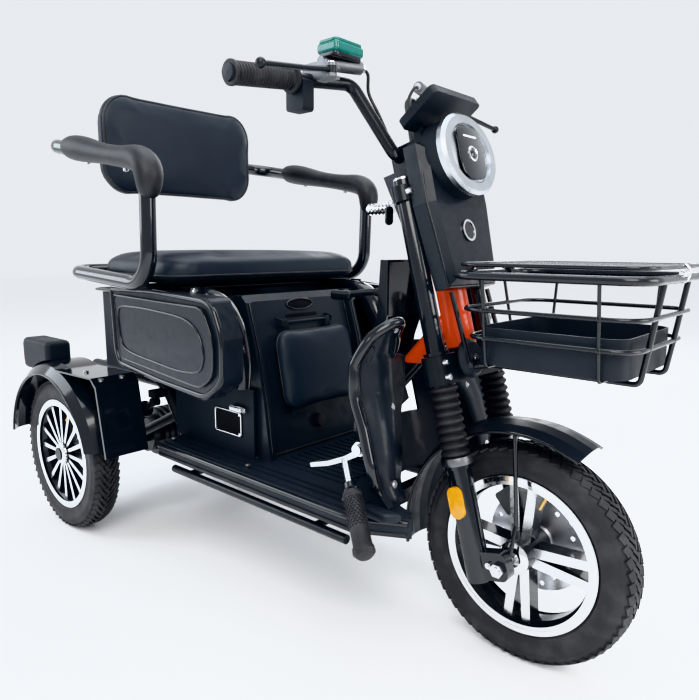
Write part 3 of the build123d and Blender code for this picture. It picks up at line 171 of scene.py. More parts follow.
def moulded(name, color, rough, grain, depth=0.35):
    """Moulded plastic: a fine pebbled grain and rubbed, slightly glossier patches."""
    material, tree, shader = start_material(name, color, rough)
    vector = coordinates(tree)
    cells = tree.nodes.new("ShaderNodeTexVoronoi")
    cells.inputs["Scale"].default_value = grain
    tree.links.new(vector, cells.inputs["Vector"])
    patches = noise(tree, vector, 12, 5)
    tone = mix_colors(tree, patches, scale_color(color, 0.75), scale_color(color, 1.4))
    tree.links.new(tone, shader.inputs["Base Color"])
    tree.links.new(spread(tree, patches, rough * 1.15, rough * 0.8), shader.inputs["Roughness"])
    bump(tree, shader, cells.outputs["Distance"], depth, 0.0005)
    return material


def leather(name, color):
    """Soft vinyl: pebbled cells, creases and a worn sheen."""
    material, tree, shader = start_material(name, color, 0.42)
    vector = coordinates(tree)
    cells = tree.nodes.new("ShaderNodeTexVoronoi")
    cells.feature = "DISTANCE_TO_EDGE"
    cells.inputs["Scale"].default_value = 420
    tree.links.new(vector, cells.inputs["Vector"])
    creases = noise(tree, vector, 38, 6)
    worn = noise(tree, vector, 7, 4)
    tone = mix_colors(tree, worn, scale_color(color, 0.8), scale_color(color, 1.45))
    tree.links.new(tone, shader.inputs["Base Color"])
    tree.links.new(spread(tree, worn, 0.36, 0.52), shader.inputs["Roughness"])
    bump(tree, shader, cells.outputs["Distance"], 0.25, 0.0006)
    bump(tree, shader, creases, 0.18, 0.0015)
    return material


def rubber(name, color, rough, grain=500.0):
    """Rubber: matt, with fine grain and dusty high spots."""
    material, tree, shader = start_material(name, color, rough, specular=0.4)
    vector = coordinates(tree)
    dust = noise(tree, vector, 26, 6)
    tone = mix_colors(tree, spread(tree, dust, 0, 1, 0.45, 0.75), color, scale_color(color, 2.1))
    tree.links.new(tone, shader.inputs["Base Color"])
    bump(tree, shader, noise(tree, vector, grain, 2), 0.3, 0.0006)
    return material


def metal(name, color, rough, stretch=(1, 1, 1), grain=260.0, depth=0.1):
    """Bare or plated metal: directional brushing, smudges and tarnish."""
    material, tree, shader = start_material(name, color, rough, metal=1.0)
    vector = coordinates(tree, stretch)
    smudge = noise(tree, coordinates(tree), 14, 4)
    tone = mix_colors(tree, smudge, scale_color(color, 0.72), scale_color(color, 1.1))
    tree.links.new(tone, shader.inputs["Base Color"])
    tree.links.new(spread(tree, smudge, rough * 0.7, rough * 1.5), shader.inputs["Roughness"])
    bump(tree, shader, noise(tree, vector, grain, 3), depth, 0.0003)
    return material


def machined_rim(name, silver, black):
    """Black paint with bright turned faces where the surface looks along the axle."""
    material, tree, shader = start_material(name, black, 0.25, coat=0.4)
    source = tree.nodes.new("ShaderNodeTexCoord")
    axes = tree.nodes.new("ShaderNodeSeparateXYZ")
    tree.links.new(source.outputs["Normal"], axes.inputs["Vector"])
    size = tree.nodes.new("ShaderNodeMath")
    size.operation = "ABSOLUTE"
    tree.links.new(axes.outputs["Y"], size.inputs[0])
    mask = spread(tree, size.outputs["Value"], 0, 1, 0.78, 0.9)
    tree.links.new(mix_colors(tree, mask, black, silver), shader.inputs["Base Color"])
    tree.links.new(mask, shader.inputs["Metallic"])
    turned = noise(tree, coordinates(tree, (1, 30, 1)), 90, 3)
    tree.links.new(spread(tree, turned, 0.2, 0.36), shader.inputs["Roughness"])
    bump(tree, shader, turned, 0.06, 0.0003)
    return material


def clear_tint(name, color, rough, alpha):
    """A tinted clear moulding, with flow marks inside."""
    material, tree, shader = start_material(name, color, rough, coat=0.6)
    vector = coordinates(tree)
    flow = noise(tree, vector, 70, 3)
    tone = mix_colors(tree, flow, scale_color(color, 0.6), scale_color(color, 1.25))
    tree.links.new(tone, shader.inputs["Base Color"])
    shader.inputs["Transmission Weight"].default_value = alpha
    bump(tree, shader, flow, 0.15, 0.0005)
    return material


def two_tone(name, high, low, level, rough):
    """Paint of one colour above a height and of another below it."""
    material, tree, shader = start_material(name, high, rough, coat=0.5)
    vector = coordinates(tree)
    axes = tree.nodes.new("ShaderNodeSeparateXYZ")
    tree.links.new(vector, axes.inputs["Vector"])
    mask = spread(tree, axes.outputs["Z"], 0, 1, level - 0.001, level + 0.001)
    cloud = noise(tree, vector, 9, 4)
    bright = mix_colors(tree, cloud, scale_color(high, 0.8), scale_color(high, 1.2))
    blend = tree.nodes.new("ShaderNodeMix")
    blend.data_type = "RGBA"
    blend.inputs["A"].default_value = (*low, 1)
    tree.links.new(mask, blend.inputs["Factor"])
    tree.links.new(bright, blend.inputs["B"])
    tree.links.new(blend.outputs["Result"], shader.inputs["Base Color"])
    bump(tree, shader, noise(tree, vector, 220, 2), 0.1, 0.0004)
    return material


def make_materials(look):
    """Every finish on the scooter, by name."""
    black, deep = tuple(look.plastic), tuple(look.paint)
    return {
        "frame_black": painted("frame_powder_coat", deep, 0.33, 0.12),
        "gloss_black": painted("gloss_black_paint", deep, 0.14, 0.6, 0.06),
        "satin_black": painted("satin_black_panel", black, 0.38, 0.1, 0.12),
        "moulded_black": moulded("moulded_black", black, 0.52, 900),
        "floor_black": moulded("footboard_plastic", scale_color(black, 1.1), 0.46, 700),
        "neck_orange": two_tone("red_orange_paint", (0.62, 0.06, 0.015), deep, 0.478, 0.3),
        "tyre": rubber("tyre_rubber", (0.022, 0.022, 0.024), 0.62),
        "rubber": rubber("black_rubber", (0.018, 0.018, 0.02), 0.55),
        "arm_foam": rubber("integral_foam", (0.012, 0.013, 0.015), 0.48, 900),
        "seat_vinyl": leather("seat_vinyl", tuple(look.vinyl)),
        "cast_alloy": metal("cast_alloy", (0.2, 0.205, 0.215), 0.42, grain=420, depth=0.3),
        "bright_steel": metal("bright_steel", (0.72, 0.73, 0.75), 0.24, (1, 1, 8)),
        "bezel_silver": metal("bezel_silver", (0.6, 0.62, 0.65), 0.28, (1, 1, 1), 700, 0.15),
        "machined_alloy": machined_rim("machined_alloy", (0.8, 0.81, 0.83), deep),
        "wire_black": painted("dipped_wire", deep, 0.28, 0.5, 0.3),
        "cell_case": moulded("cell_case", (0.05, 0.05, 0.06), 0.6, 500),
        "lens_dark": painted("dark_lens", (0.006, 0.008, 0.011), 0.05, 1.0, 0.0),
        "amber_lamp": clear_tint("amber_lens", (0.95, 0.42, 0.02), 0.12, 0.25),
        "red_lamp": clear_tint("smoked_red_lens", (0.18, 0.008, 0.008), 0.1, 0.2),
        "reservoir_teal": clear_tint("teal_reservoir", (0.01, 0.2, 0.17), 0.08, 0.3),
        "brass": metal("brass", (0.72, 0.5, 0.2), 0.3),
        "chrome": metal("chrome", (0.86, 0.87, 0.88), 0.08, depth=0.02),
        # Near-black: painted shade in the cover's finger recess and slot; also the face of the blank plate.
        "shadow": moulded("dark_recess", (0.004, 0.004, 0.005), 0.8, 300),
        "lamp_glow": painted("pale_light_guide", (0.8, 0.84, 0.86), 0.2, 0.6, 0.02),
    }


# ---- mesh tools ------------------------------------------------------------------------------
PAINT = {}


def finish_mesh(mesh, material, angle=38):
    """Smooth shading with sharp creases, and one material."""
    mesh.materials.clear()
    mesh.materials.append(PAINT[material])
    mesh.shade_smooth()
    mesh.set_sharp_from_angle(angle=radians(angle))
    return mesh


def mesh_from(name, verts, faces):
    """A mesh from points in millimetres, with its faces turned outwards."""
    mesh = bpy.data.meshes.new(name)
    mesh.from_pydata([at(*point) for point in verts], [], faces)
    shape = bmesh.new()
    shape.from_mesh(mesh)
    bmesh.ops.remove_doubles(shape, verts=shape.verts, dist=0.00002)
    bmesh.ops.recalc_face_normals(shape, faces=shape.faces)
    shape.to_mesh(mesh)
    shape.free()
    return mesh


def place(name, mesh, body):
    """A finished piece, riding on a body."""
    piece = bpy.data.objects.new(name, mesh)
    bpy.context.collection.objects.link(piece)
    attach(piece, body)
    return piece


def piece(name, shapes, material, body, slot=None, angle=38):
    """One piece from a list of (points, faces) shapes."""
    verts, faces = [], []
    for points, polygons in shapes:
        start = len(verts)
        verts += [tuple(point) for point in points]
        faces += [tuple(index + start for index in polygon) for polygon in polygons]
    made = place(name, finish_mesh(mesh_from(name, verts, faces), material, angle), body)
    return made


def tube(points, radius, sides=14, closed=False, squeeze=1.0):
    """A tube along points; radius may be one number or one for each point."""
    path = [Vector(point) for point in points]
    count = len(path)
    radii = radius if isinstance(radius, (list, tuple)) else [radius] * count
    verts, faces = [], []
    side = None
    for index, point in enumerate(path):
        before = path[index - 1] if index or closed else point
        after = path[(index + 1) % count] if index < count - 1 or closed else point
        ahead = (after - before).normalized()
        if side is None:
            helper = Vector((0, 0, 1)) if abs(ahead.z) < 0.9 else Vector((0, 1, 0))
            side = ahead.cross(helper)
        side = (side - ahead * side.dot(ahead)).normalized()
        up = side.cross(ahead)
        for step in range(sides):
            turn = 2 * pi * step / sides
            spoke = side * cos(turn) + up * sin(turn) * squeeze
            verts.append(point + spoke * radii[index])
    rings = count if closed else count - 1
    for ring in range(rings):
        for step in range(sides):
            a = ring * sides + step
            b = ring * sides + (step + 1) % sides
            c = (ring + 1) % count * sides + (step + 1) % sides
            d = (ring + 1) % count * sides + step
            faces.append((a, b, c, d))
    if not closed:
        faces.append(tuple(range(sides - 1, -1, -1)))
        faces.append(tuple((count - 1) * sides + step for step in range(sides)))
    return verts, faces


def curved(points, steps=8, closed=False):
    """Points on a smooth line through the given ones."""
    path = [Vector(point) for point in points]
    count = len(path)
    line = []
    spans = count if closed else count - 1
    for index in range(spans):
        if closed:
            a, b, c, d = (path[(index + shift) % count] for shift in (-1, 0, 1, 2))
        else:
            a, b = path[max(index - 1, 0)], path[index]
            c, d = path[index + 1], path[min(index + 2, count - 1)]
        for step in range(steps):
            t = step / steps
            line.append(0.5 * (2 * b + (c - a) * t + (2 * a - 5 * b + 4 * c - d) * t * t
                               + (3 * b - a - 3 * c + d) * t ** 3))
    if not closed:
        line.append(path[-1])
    return line


def rounded_path(points, corner, steps=6):
    """Straight runs joined by round corners, as a list of points."""
    path = [Vector(point) for point in points]
    line = [path[0]]
    for before, here, after in zip(path, path[1:], path[2:]):
        near = min(corner, (here - before).length * 0.45, (after - here).length * 0.45)
        start = here + (before - here).normalized() * near
        end = here + (after - here).normalized() * near
        for step in range(steps + 1):
            t = step / steps
            line.append(start * (1 - t) ** 2 + here * 2 * t * (1 - t) + end * t * t)
    return line + [path[-1]]


def lathe(profile, center, axis=(0, 1, 0), steps=96):
    """A turned shape: profile points are (radius, distance along the axis)."""
    along = Vector(axis).normalized()
    helper = Vector((0, 0, 1)) if abs(along.z) < 0.9 else Vector((1, 0, 0))
    side = along.cross(helper).normalized()
    up = side.cross(along)
    verts, faces = [], []
    for step in range(steps):
        turn = 2 * pi * step / steps
        spoke = side * cos(turn) + up * sin(turn)
        verts += [Vector(center) + along * far + spoke * radius for radius, far in profile]
    count = len(profile)
    for step in range(steps):
        for index in range(count):
            after = (index + 1) % count
            a, b = step * count + index, step * count + after
            c, d = (step + 1) % steps * count + after, (step + 1) % steps * count + index
            faces.append((a, b, c, d))
    return verts, faces


def slab(outline, origin, across, up, depth, bevel=2.0, segments=2):
    """A flat plate with rounded edges: outline points lie in the across and up directions."""
    across, up = Vector(across).normalized(), Vector(up).normalized()
    out = across.cross(up)
    shape = bmesh.new()
    corners = [shape.verts.new(Vector(origin) + across * u + up * v) for u, v in outline]
    face = shape.faces.new(corners)
    made = bmesh.ops.extrude_face_region(shape, geom=[face])
    moved = [item for item in made["geom"] if isinstance(item, bmesh.types.BMVert)]
    bmesh.ops.translate(shape, verts=moved, vec=out * depth)
    if bevel:
        rims = [edge for edge in shape.edges if edge.calc_face_angle(0) > 0.5]
        bmesh.ops.bevel(shape, geom=rims, offset=bevel, segments=segments, affect="EDGES",
                        profile=0.5)
    shape.verts.index_update()
    verts = [vert.co.copy() for vert in shape.verts]
    faces = [tuple(vert.index for vert in face.verts) for face in shape.faces]
    shape.free()
    return verts, faces


def rounded_outline(half_u, half_v, corner, steps=6):
    """A rounded rectangle's points about its middle."""
    points = []
    for quarter, (su, sv) in enumerate(((1, 1), (-1, 1), (-1, -1), (1, -1))):
        for step in range(steps + 1):
            turn = (quarter + step / steps) * pi / 2
            points.append((su * (half_u - corner) + corner * cos(turn),
                           sv * (half_v - corner) + corner * sin(turn)))
    return points


# ---- repeated parts by Geometry Nodes --------------------------------------------------------
def repeat_tree(name, kind):
    """A node tree that puts a bolt head, a block or a bead at each point of a mesh."""
    tree = bpy.data.node_groups.new(name, "GeometryNodeTree")
    face = tree.interface
    face.new_socket("Geometry", in_out="INPUT", socket_type="NodeSocketGeometry")
    for label in ("Width", "Length", "Height"):
        face.new_socket(label, in_out="INPUT", socket_type="NodeSocketFloat")
    face.new_socket("Finish", in_out="INPUT", socket_type="NodeSocketMaterial")
    face.new_socket("Geometry", in_out="OUTPUT", socket_type="NodeSocketGeometry")
    nodes, links = tree.nodes, tree.links
    source, sink = nodes.new("NodeGroupInput"), nodes.new("NodeGroupOutput")
    if kind == "block":
        size = nodes.new("ShaderNodeCombineXYZ")
        for socket, label in zip(size.inputs, ("Width", "Length", "Height")):
            links.new(source.outputs[label], socket)
        shape = nodes.new("GeometryNodeMeshCube")
        links.new(size.outputs[0], shape.inputs["Size"])
        item = shape.outputs["Mesh"]
    elif kind == "bead":
        shape = nodes.new("GeometryNodeMeshUVSphere")
        shape.inputs["Segments"].default_value = 8
        shape.inputs["Rings"].default_value = 5
        links.new(source.outputs["Width"], shape.inputs["Radius"])
        item = shape.outputs["Mesh"]
    else:
        joined = nodes.new("GeometryNodeJoinGeometry")
        for sides, share, rise in ((28, 1.0, 1.0), (6, 0.55, 1.5)):
            shape = nodes.new("GeometryNodeMeshCylinder")
            shape.inputs["Vertices"].default_value = sides
            for label, socket, factor in (("Width", "Radius", share), ("Height", "Depth", rise)):
                scale = nodes.new("ShaderNodeMath")
                scale.operation = "MULTIPLY"
                scale.inputs[1].default_value = factor
                links.new(source.outputs[label], scale.inputs[0])
                links.new(scale.outputs[0], shape.inputs[socket])
            links.new(shape.outputs["Mesh"], joined.inputs["Geometry"])
        item = joined.outputs["Geometry"]
    turn = nodes.new("FunctionNodeAxesToRotation")
    turn.primary_axis, turn.secondary_axis = "Z", "Y"
    for label, socket in (("aim", "Primary Axis"), ("along", "Secondary Axis")):
        stored = nodes.new("GeometryNodeInputNamedAttribute")
        stored.data_type = "FLOAT_VECTOR"
        stored.inputs["Name"].default_value = label
        links.new(stored.outputs["Attribute"], turn.inputs[socket])
    points = nodes.new("GeometryNodeMeshToPoints")
    links.new(source.outputs["Geometry"], points.inputs["Mesh"])
    copies = nodes.new("GeometryNodeInstanceOnPoints")
    links.new(points.outputs["Points"], copies.inputs["Points"])
    links.new(item, copies.inputs["Instance"])
    links.new(turn.outputs["Rotation"], copies.inputs["Rotation"])
    real = nodes.new("GeometryNodeRealizeInstances")
    links.new(copies.outputs["Instances"], real.inputs["Geometry"])
    paint = nodes.new("GeometryNodeSetMaterial")
    links.new(real.outputs["Geometry"], paint.inputs["Geometry"])
    links.new(source.outputs["Finish"], paint.inputs["Material"])
    links.new(paint.outputs["Geometry"], sink.inputs["Geometry"])
    return tree


TREES = {}


def repeat(name, kind, spots, size, material, body):
    """One piece of like parts; spots are (place, outward direction, length direction)."""
    if kind not in TREES:
        TREES[kind] = repeat_tree("repeat_" + kind, kind)
    tree = TREES[kind]
    mesh = bpy.data.meshes.new(name)
    mesh.from_pydata([at(*spot[0]) for spot in spots], [], [])
    for label, index in (("aim", 1), ("along", 2)):
        values = mesh.attributes.new(label, "FLOAT_VECTOR", "POINT")
        flat = [part for spot in spots for part in Vector(spot[index]).normalized()]
        values.data.foreach_set("vector", flat)
    holder = bpy.data.objects.new(name + "_points", mesh)
    bpy.context.collection.objects.link(holder)
    modifier = holder.modifiers.new("repeat", "NODES")
    modifier.node_group = tree
    sockets = {item.name: item.identifier for item in tree.interface.items_tree
               if item.in_out == "INPUT"}
    for label, value in zip(("Width", "Length", "Height"), size):
        modifier[sockets[label]] = value * MM
    modifier[sockets["Finish"]] = PAINT[material]
    depsgraph = bpy.context.evaluated_depsgraph_get()
    result = bpy.data.meshes.new_from_object(holder.evaluated_get(depsgraph))
    bpy.data.objects.remove(holder)
    made = place(name, finish_mesh(result, material, 30), body)
    return made


def bolts(name, spots, radius, height, material, body):
    """Bolt heads at places, each facing a direction."""
    full = [(spot, aim, (0, 0, 1) if abs(Vector(aim).normalized().z) < 0.9 else (1, 0, 0))
            for spot, aim in spots]
    return repeat(name, "bolt", full, (radius, 0, height), material, body)


# ---- wheels ----------------------------------------------------------------------------------
def tyre_shape(x, y, settings):
    """A tyre's carcass with rounded sidewalls, bead ridges and two tread grooves."""
    crown = AXLE_Z - settings.tread_height
    half = [(132, 22), (134.5, 27), (138, 30), (141, 29.2), (146, 30.6), (148, 30), (152, 31.6),
            (160, 32), (164, 32), (165, 31.2), (168, 31.4), (174, 29), (crown - 2.2, 24),
            (crown - 0.8, 16), (crown - 0.6, 11), (crown - 3.5, 10), (crown - 3.5, 7.5),
            (crown, 6.5), (crown, 0)]
    outline = [(r, -far) for r, far in half] + [(r, far) for r, far in reversed(half[:-1])]
    return lathe(outline, (x, y, AXLE_Z), steps=120)


def tread_spots(x, y, settings, rows, lean):
    """Where each tread block of a row stands, and which way it runs."""
    spots = []
    count = settings.tread_count
    for far, drop, shift in rows:
        for index in range(count):
            turn = 2 * pi * (index + shift) / count
            radius = AXLE_Z - settings.tread_height / 2 - drop
            out = Vector((cos(turn), 0, sin(turn)))
            ahead = Vector((-sin(turn), 0, cos(turn)))
            tilt = Vector((0, 1, 0)) * far / max(abs(far), 1) * (drop + 1) * 0.1
            run = (ahead + Vector((0, lean if far > 0 else -lean, 0))).normalized()
            place_at = Vector((x, y + far, AXLE_Z)) + out * radius
            spots.append((place_at, (out + tilt).normalized(), run))
    return spots


def make_tyres(settings):
    """The three tyres: a carcass with shoulder and centre blocks."""
    wheels = (("front", WHEELBASE, 0.0, "front_wheel", "front_tyre"),
              ("rear_right", 0.0, -WHEEL_Y, "rear_wheel_right", "rear_tyre_right"),
              ("rear_left", 0.0, WHEEL_Y, "rear_wheel_left", "rear_tyre_left"))
    for name, x, y, body, node in wheels:
        carcass = piece(name + "_tyre_carcass", [tyre_shape(x, y, settings)], "tyre", body,
                        "tyre", 50)
        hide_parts(node)
        rows = ((22.5, 3.6, 0.0), (-22.5, 3.6, 0.5))
        spots = tread_spots(x, y, settings, rows, 0.45)
        repeat(name + "_shoulder_blocks", "block", spots, (12, 15.4, settings.tread_height + 2.2),
               "tyre", body)
        rows = ((13.2, 1.0, 0.3), (-13.2, 1.0, 0.8), (3.4, 0.2, 0.55), (-3.4, 0.2, 0.05))
        spots = tread_spots(x, y, settings, rows, 0.8)
        repeat(name + "_centre_blocks", "block", spots, (6.2, 16, settings.tread_height + 0.6),
               "tyre", body)


def make_rims():
    """Rim details: hub caps, valves, disc bolts and the lip's bright edge."""
    for name, x, y, body in (("front", WHEELBASE, 0.0, "front_wheel"),
                             ("rear_right", 0.0, -WHEEL_Y, "rear_wheel_right"),
                             ("rear_left", 0.0, WHEEL_Y, "rear_wheel_left")):
        rings = []
        for side in (-1, 1):
            face = y + side * 29.2
            profile = [(124.5, -1.2), (125.2, 0.4), (132.6, 0.4), (133.4, -1.2)]
            rings.append(lathe([(r, side * far) for r, far in profile], (x, face, AXLE_Z)))
        piece(name + "_rim_lips", rings, "chrome", body, "machined_alloy")
        turn = radians(70)
        out = Vector((cos(turn), 0, sin(turn)))
        side = -1 if y <= 0 else 1
        base = Vector((x, y + side * 14, AXLE_Z)) + out * 117
        stem = [base, base - out * 14 + Vector((0, side * 5, 0)),
                base - out * 24 + Vector((0, side * 9, 0))]
        piece(name + "_valve", [tube(stem, [3.6, 3.0, 2.6], 12)], "brass", body)
    hub = [(26, 0), (26.5, 1), (22, 4), (13.5, 5.5), (13.5, 0)]
    caps = [lathe([(r, side * far) for r, far in hub], (WHEELBASE, side * 42.3, AXLE_Z))
            for side in (-1,)]
    piece("front_hub_cap", caps, "chrome", "front_wheel", "machined_alloy")
    for side, body in ((-1, "rear_wheel_right"), (1, "rear_wheel_left")):
        outer = side * (WHEEL_Y + 25.2)
        profile = [(26, 0), (26, 3), (21, 6.5), (16.2, 7), (16.2, 0)]
        shape = lathe([(r, side * far) for r, far in profile], (0, outer, AXLE_Z))
        piece(body + "_cap", [shape], "chrome", body, "machined_alloy")
    spots = []
    for index in range(6):
        turn = 2 * pi * index / 6
        spots.append(((WHEELBASE + 20.5 * cos(turn), 50.5, AXLE_Z + 20.5 * sin(turn)), (0, 1, 0)))
    bolts("disc_bolts", spots, 4.2, 3, "bright_steel", "front_wheel")


# ---- padded pieces ---------------------------------------------------------------------------
def pillow_mesh(name, half_u, half_v, thick, corner, crown):
    """A rounded pad about its middle, in metres, flat below and crowned above."""
    outline = rounded_outline(half_u, half_v, corner, 10)
    rings = [(0.90, 0.0), (0.97, 0.03), (1.0, 0.16), (1.0, 0.5), (0.985, 0.8), (0.93, 0.97),
             (0.84, 1.0 + crown * 0.35), (0.6, 1.0 + crown * 0.75), (0.3, 1.0 + crown * 0.95)]
    count = len(outline)
    verts, faces = [], []
    for share, rise in rings:
        inset = (1 - share) * min(half_u, half_v)
        for u, v in outline:
            if share > 0.8:
                length = sqrt(u * u + v * v)
                verts.append((u - u / length * inset, v - v / length * inset, rise * thick))
            else:
                verts.append((u * share, v * share, rise * thick))
    for ring in range(len(rings) - 1):
        for step in range(count):
            after = (step + 1) % count
            faces.append((ring * count + step, ring * count + after,
                          (ring + 1) * count + after, (ring + 1) * count + step))
    faces.append(tuple(range(count - 1, -1, -1)))
    faces.append(tuple((len(rings) - 1) * count + step for step in range(count)))
    mesh = bpy.data.meshes.new(name)
    mesh.from_pydata([[part * MM for part in vert] for vert in verts], [], faces)
    return mesh


def stuffed(name, mesh, settings, cap):
    scene = bpy.context.scene
    pad = bpy.data.objects.new(name + "_work", mesh)
    scene.collection.objects.link(pad)
    bpy.context.view_layer.objects.active = pad
    remesh = pad.modifiers.new("even", "REMESH")
    remesh.mode = "VOXEL"
    remesh.voxel_size = 0.0055
    depsgraph = bpy.context.evaluated_depsgraph_get()
    even = bpy.data.meshes.new_from_object(pad.evaluated_get(depsgraph))
    pad.modifiers.clear()
    pad.data = even
    start = [vert.co.copy() for vert in even.vertices]
    cloth = pad.modifiers.new("stuffing", "CLOTH")
    cloth.settings.use_pressure = True
    cloth.settings.uniform_pressure_force = settings.pressure
    cloth.settings.effector_weights.gravity = 0
    for frame_number in range(1, 21):
        scene.frame_set(frame_number)
    depsgraph = bpy.context.evaluated_depsgraph_get()
    blown = bpy.data.meshes.new_from_object(pad.evaluated_get(depsgraph))
    pad.modifiers.clear()
    for vert, before in zip(blown.vertices, start):
        move = vert.co - before
        if move.length > cap:
            vert.co = before + move.normalized() * cap
    pad.data = blown
    smooth = pad.modifiers.new("even_out", "SMOOTH")
    smooth.iterations = 9
    finer = pad.modifiers.new("finer", "SUBSURF")
    finer.levels = finer.render_levels = 1
    depsgraph = bpy.context.evaluated_depsgraph_get()
    result = bpy.data.meshes.new_from_object(pad.evaluated_get(depsgraph))
    bpy.data.objects.remove(pad)
    result.name = name
    return result


def settle(mesh, turn, low, high):
    """Turn a pad into place and fit it to a box between two corners, in metres."""
    mesh.transform(turn)
    points = [vert.co for vert in mesh.vertices]
    for axis in range(3):
        least = min(point[axis] for point in points)
        most = max(point[axis] for point in points)
        scale = (high[axis] - low[axis]) / (most - least)
        for point in points:
            point[axis] = low[axis] + (point[axis] - least) * scale
    mesh.update()
    return mesh


def ring_on(mesh, center, across, up, level, count=140, lift=0.0):
    """Points round a pad where a flat plane cuts its surface."""
    tree = BVHTree.FromPolygons([vert.co for vert in mesh.vertices],
                                [tuple(face.vertices) for face in mesh.polygons])
    center = Vector(center) + Vector(up) * level
    across = Vector(across)
    other = Vector(up).cross(across)
    line = []
    for step in range(count):
        turn = 2 * pi * step / count
        ray = across * cos(turn) + other * sin(turn)
        hit = tree.ray_cast(center + ray * 2, -ray)[0]
        if hit:
            point = hit + ray * lift
            line.append(Vector(((point.x - REAR_AXLE.x) / MM, point.y / MM, point.z / MM)))
    return line


def make_seat(settings):
    """The stuffed cushion and backrest with their piping, the cushion's base bead and the backrest's shell."""
    low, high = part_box("seat_cushion")
    half = (high - low) / 2 / MM
    shape = pillow_mesh("seat_cushion_pad", half.x, half.y, 2 * half.z * 0.8, 62, 0.2)
    shape = stuffed("seat_cushion_pad", shape, settings, 0.012)
    shape = settle(shape, Matrix.Identity(4), low, high + Vector((0, 0, 0.006)))
    cushion = place("seat_cushion_pad", finish_mesh(shape, "seat_vinyl", 80), "seat")
    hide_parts("seat_cushion")
    middle = (low + high) / 2
    for name, level, size in (("seat_piping", -0.012, settings.piping),
                              ("seat_base_bead", -0.026, settings.piping * 0.7)):
        line = ring_on(shape, middle, (1, 0, 0), (0, 0, 1), level)
        piece(name, [tube(line, size, 10, closed=True)], "rubber", "seat", "seat_vinyl", 60)
    low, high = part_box("backrest")
    half = (high - low) / 2 / MM
    shape = pillow_mesh("backrest_pad", half.z, half.y, 2 * half.x * 0.85, 64, 0.2)
    shape = stuffed("backrest_pad", shape, settings, 0.010)
    stand = Matrix(((0, 0, 1), (0, 1, 0), (-1, 0, 0))).to_4x4()
    shape = settle(shape, stand, low + Vector((0.006, 0, 0)), high + Vector((0.004, 0, 0)))
    back = place("backrest_pad", finish_mesh(shape, "seat_vinyl", 80), "seat")
    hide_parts("backrest")
    middle = (low + high) / 2
    for name, level in (("backrest_front_piping", 0.012), ("backrest_rear_piping", -0.012)):
        line = ring_on(shape, middle, (0, 1, 0), (1, 0, 0), level)
        piece(name, [tube(line, settings.piping, 10, closed=True)], "rubber", "seat",
              "seat_vinyl", 60)
    shell = rounded_outline(half.z - 8, half.y - 8, 56)
    center_z = (low.z + high.z) / 2 / MM
    back_x = (low.x - REAR_AXLE.x) / MM
    shell = slab([(v, u) for u, v in shell], (back_x - 1.5, 0, center_z), (0, 1, 0), (0, 0, 1),
                 8, 2.5)
    piece("backrest_shell", [shell], "moulded_black", "seat", "moulded_black")


ARM_REAR, ARM_FRONT = Vector((60, 0, 905)), Vector((455, 0, 838))
SEAT_TUBE_Y = 307.0


def make_arm_pads():
    """The foam arm pads, each with a rear hump, a slim waist and a drooping nose."""
    for name, side in (("right", -1), ("left", 1)):
        y = side * SEAT_TUBE_Y
        ahead = (ARM_FRONT - ARM_REAR).normalized()
        rear = ARM_FRONT - ahead * 304
        line, sizes = [], []
        widths = [(0, 13), (3, 20), (10, 25), (34, 28.5), (72, 28), (110, 24.5), (146, 21.5),
                  (186, 21), (222, 22), (252, 24.5), (276, 27)]
        for far, size in widths:
            spot = rear + ahead * far
            line.append((spot.x, y, spot.z + (size - 20) * 0.4))
            sizes.append(size)
        nose = [((462, 836), 28), ((471, 823), 28), ((474, 806), 26), ((472, 790), 23),
                ((468, 780), 19), ((465, 776), 12)]
        for (x, z), size in nose:
            line.append((x - 12, y, z))
            sizes.append(size)
        shape = tube(line, sizes, 28, squeeze=0.92)
        pad = piece(name + "_arm_pad", [shape], "arm_foam", "seat", "arm_foam", 75)
        smooth = pad.modifiers.new("round", "SUBSURF")
        smooth.levels = smooth.render_levels = 1
        under = [(tuple(rear + ahead * far + Vector((0, y, -22))), (0, 0, -1))
                 for far in (80, 230)]
        bolts(name + "_arm_pad_bolts", under, 5, 5, "bright_steel", "seat")
    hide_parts("arm_pads")


def make_child_pad(settings):
    """The child's back pad on the front cover, with its piping and two hinge leaves."""
    top = Vector((570, 0, 518))
    foot = Vector((602, 0, 362))
    up = (top - foot).normalized()
    out = Vector((up.z, 0, -up.x))
    middle = (top + foot) / 2
    shape = pillow_mesh("child_pad_cushion", 79, 105, 30, 30, 0.22)
    shape = stuffed("child_pad_cushion", shape, settings, 0.006)
    least, most = Vector((-0.079, -0.105, 0)), Vector((0.079, 0.105, 0.036))
    shape = settle(shape, Matrix.Identity(4), least, most)
    turn = Matrix((up, Vector((0, 1, 0)), out)).transposed().to_4x4()
    base = at(*(middle - out * 17))
    shape.transform(Matrix.Translation(base) @ turn)
    pad = place("child_pad_cushion", finish_mesh(shape, "seat_vinyl", 70), "child_pad")
    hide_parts("child_pad")
    line = ring_on(shape, base + out * 0.012, (0, 1, 0), out, 0.0, 110)
    piece("child_pad_piping", [tube(line, 2.2, 8, closed=True)], "rubber", "child_pad",
          "seat_vinyl", 60)
    eyes = []
    for y in (-62, 62):
        outline = [(-8, -22), (8, -22), (8, 4), (4, 8), (-4, 8), (-8, 4)]
        eyes.append(slab(outline, (548.5, y, 530), (0, 1, 0), (0, 0, 1), 5, 1.5))
    piece("child_pad_hinge_leaves", eyes, "moulded_black", "child_pad", "moulded_black")


# ---- body panels -----------------------------------------------------------------------------
SHIELD_INNER = [(270, 136), (340, 118), (400, 100), (425, 84), (440, 70), (500, 74), (512, 102),
                (530, 108), (556, 122), (574, 138)]
SHIELD_EDGE = [(270, 168), (330, 184), (500, 184), (552, 162), (574, 140)]
SHIELD_LINE = [(270, 918), (300, 899), (340, 894), (400, 876), (446, 858), (500, 856), (545, 876),
               (574, 906)]


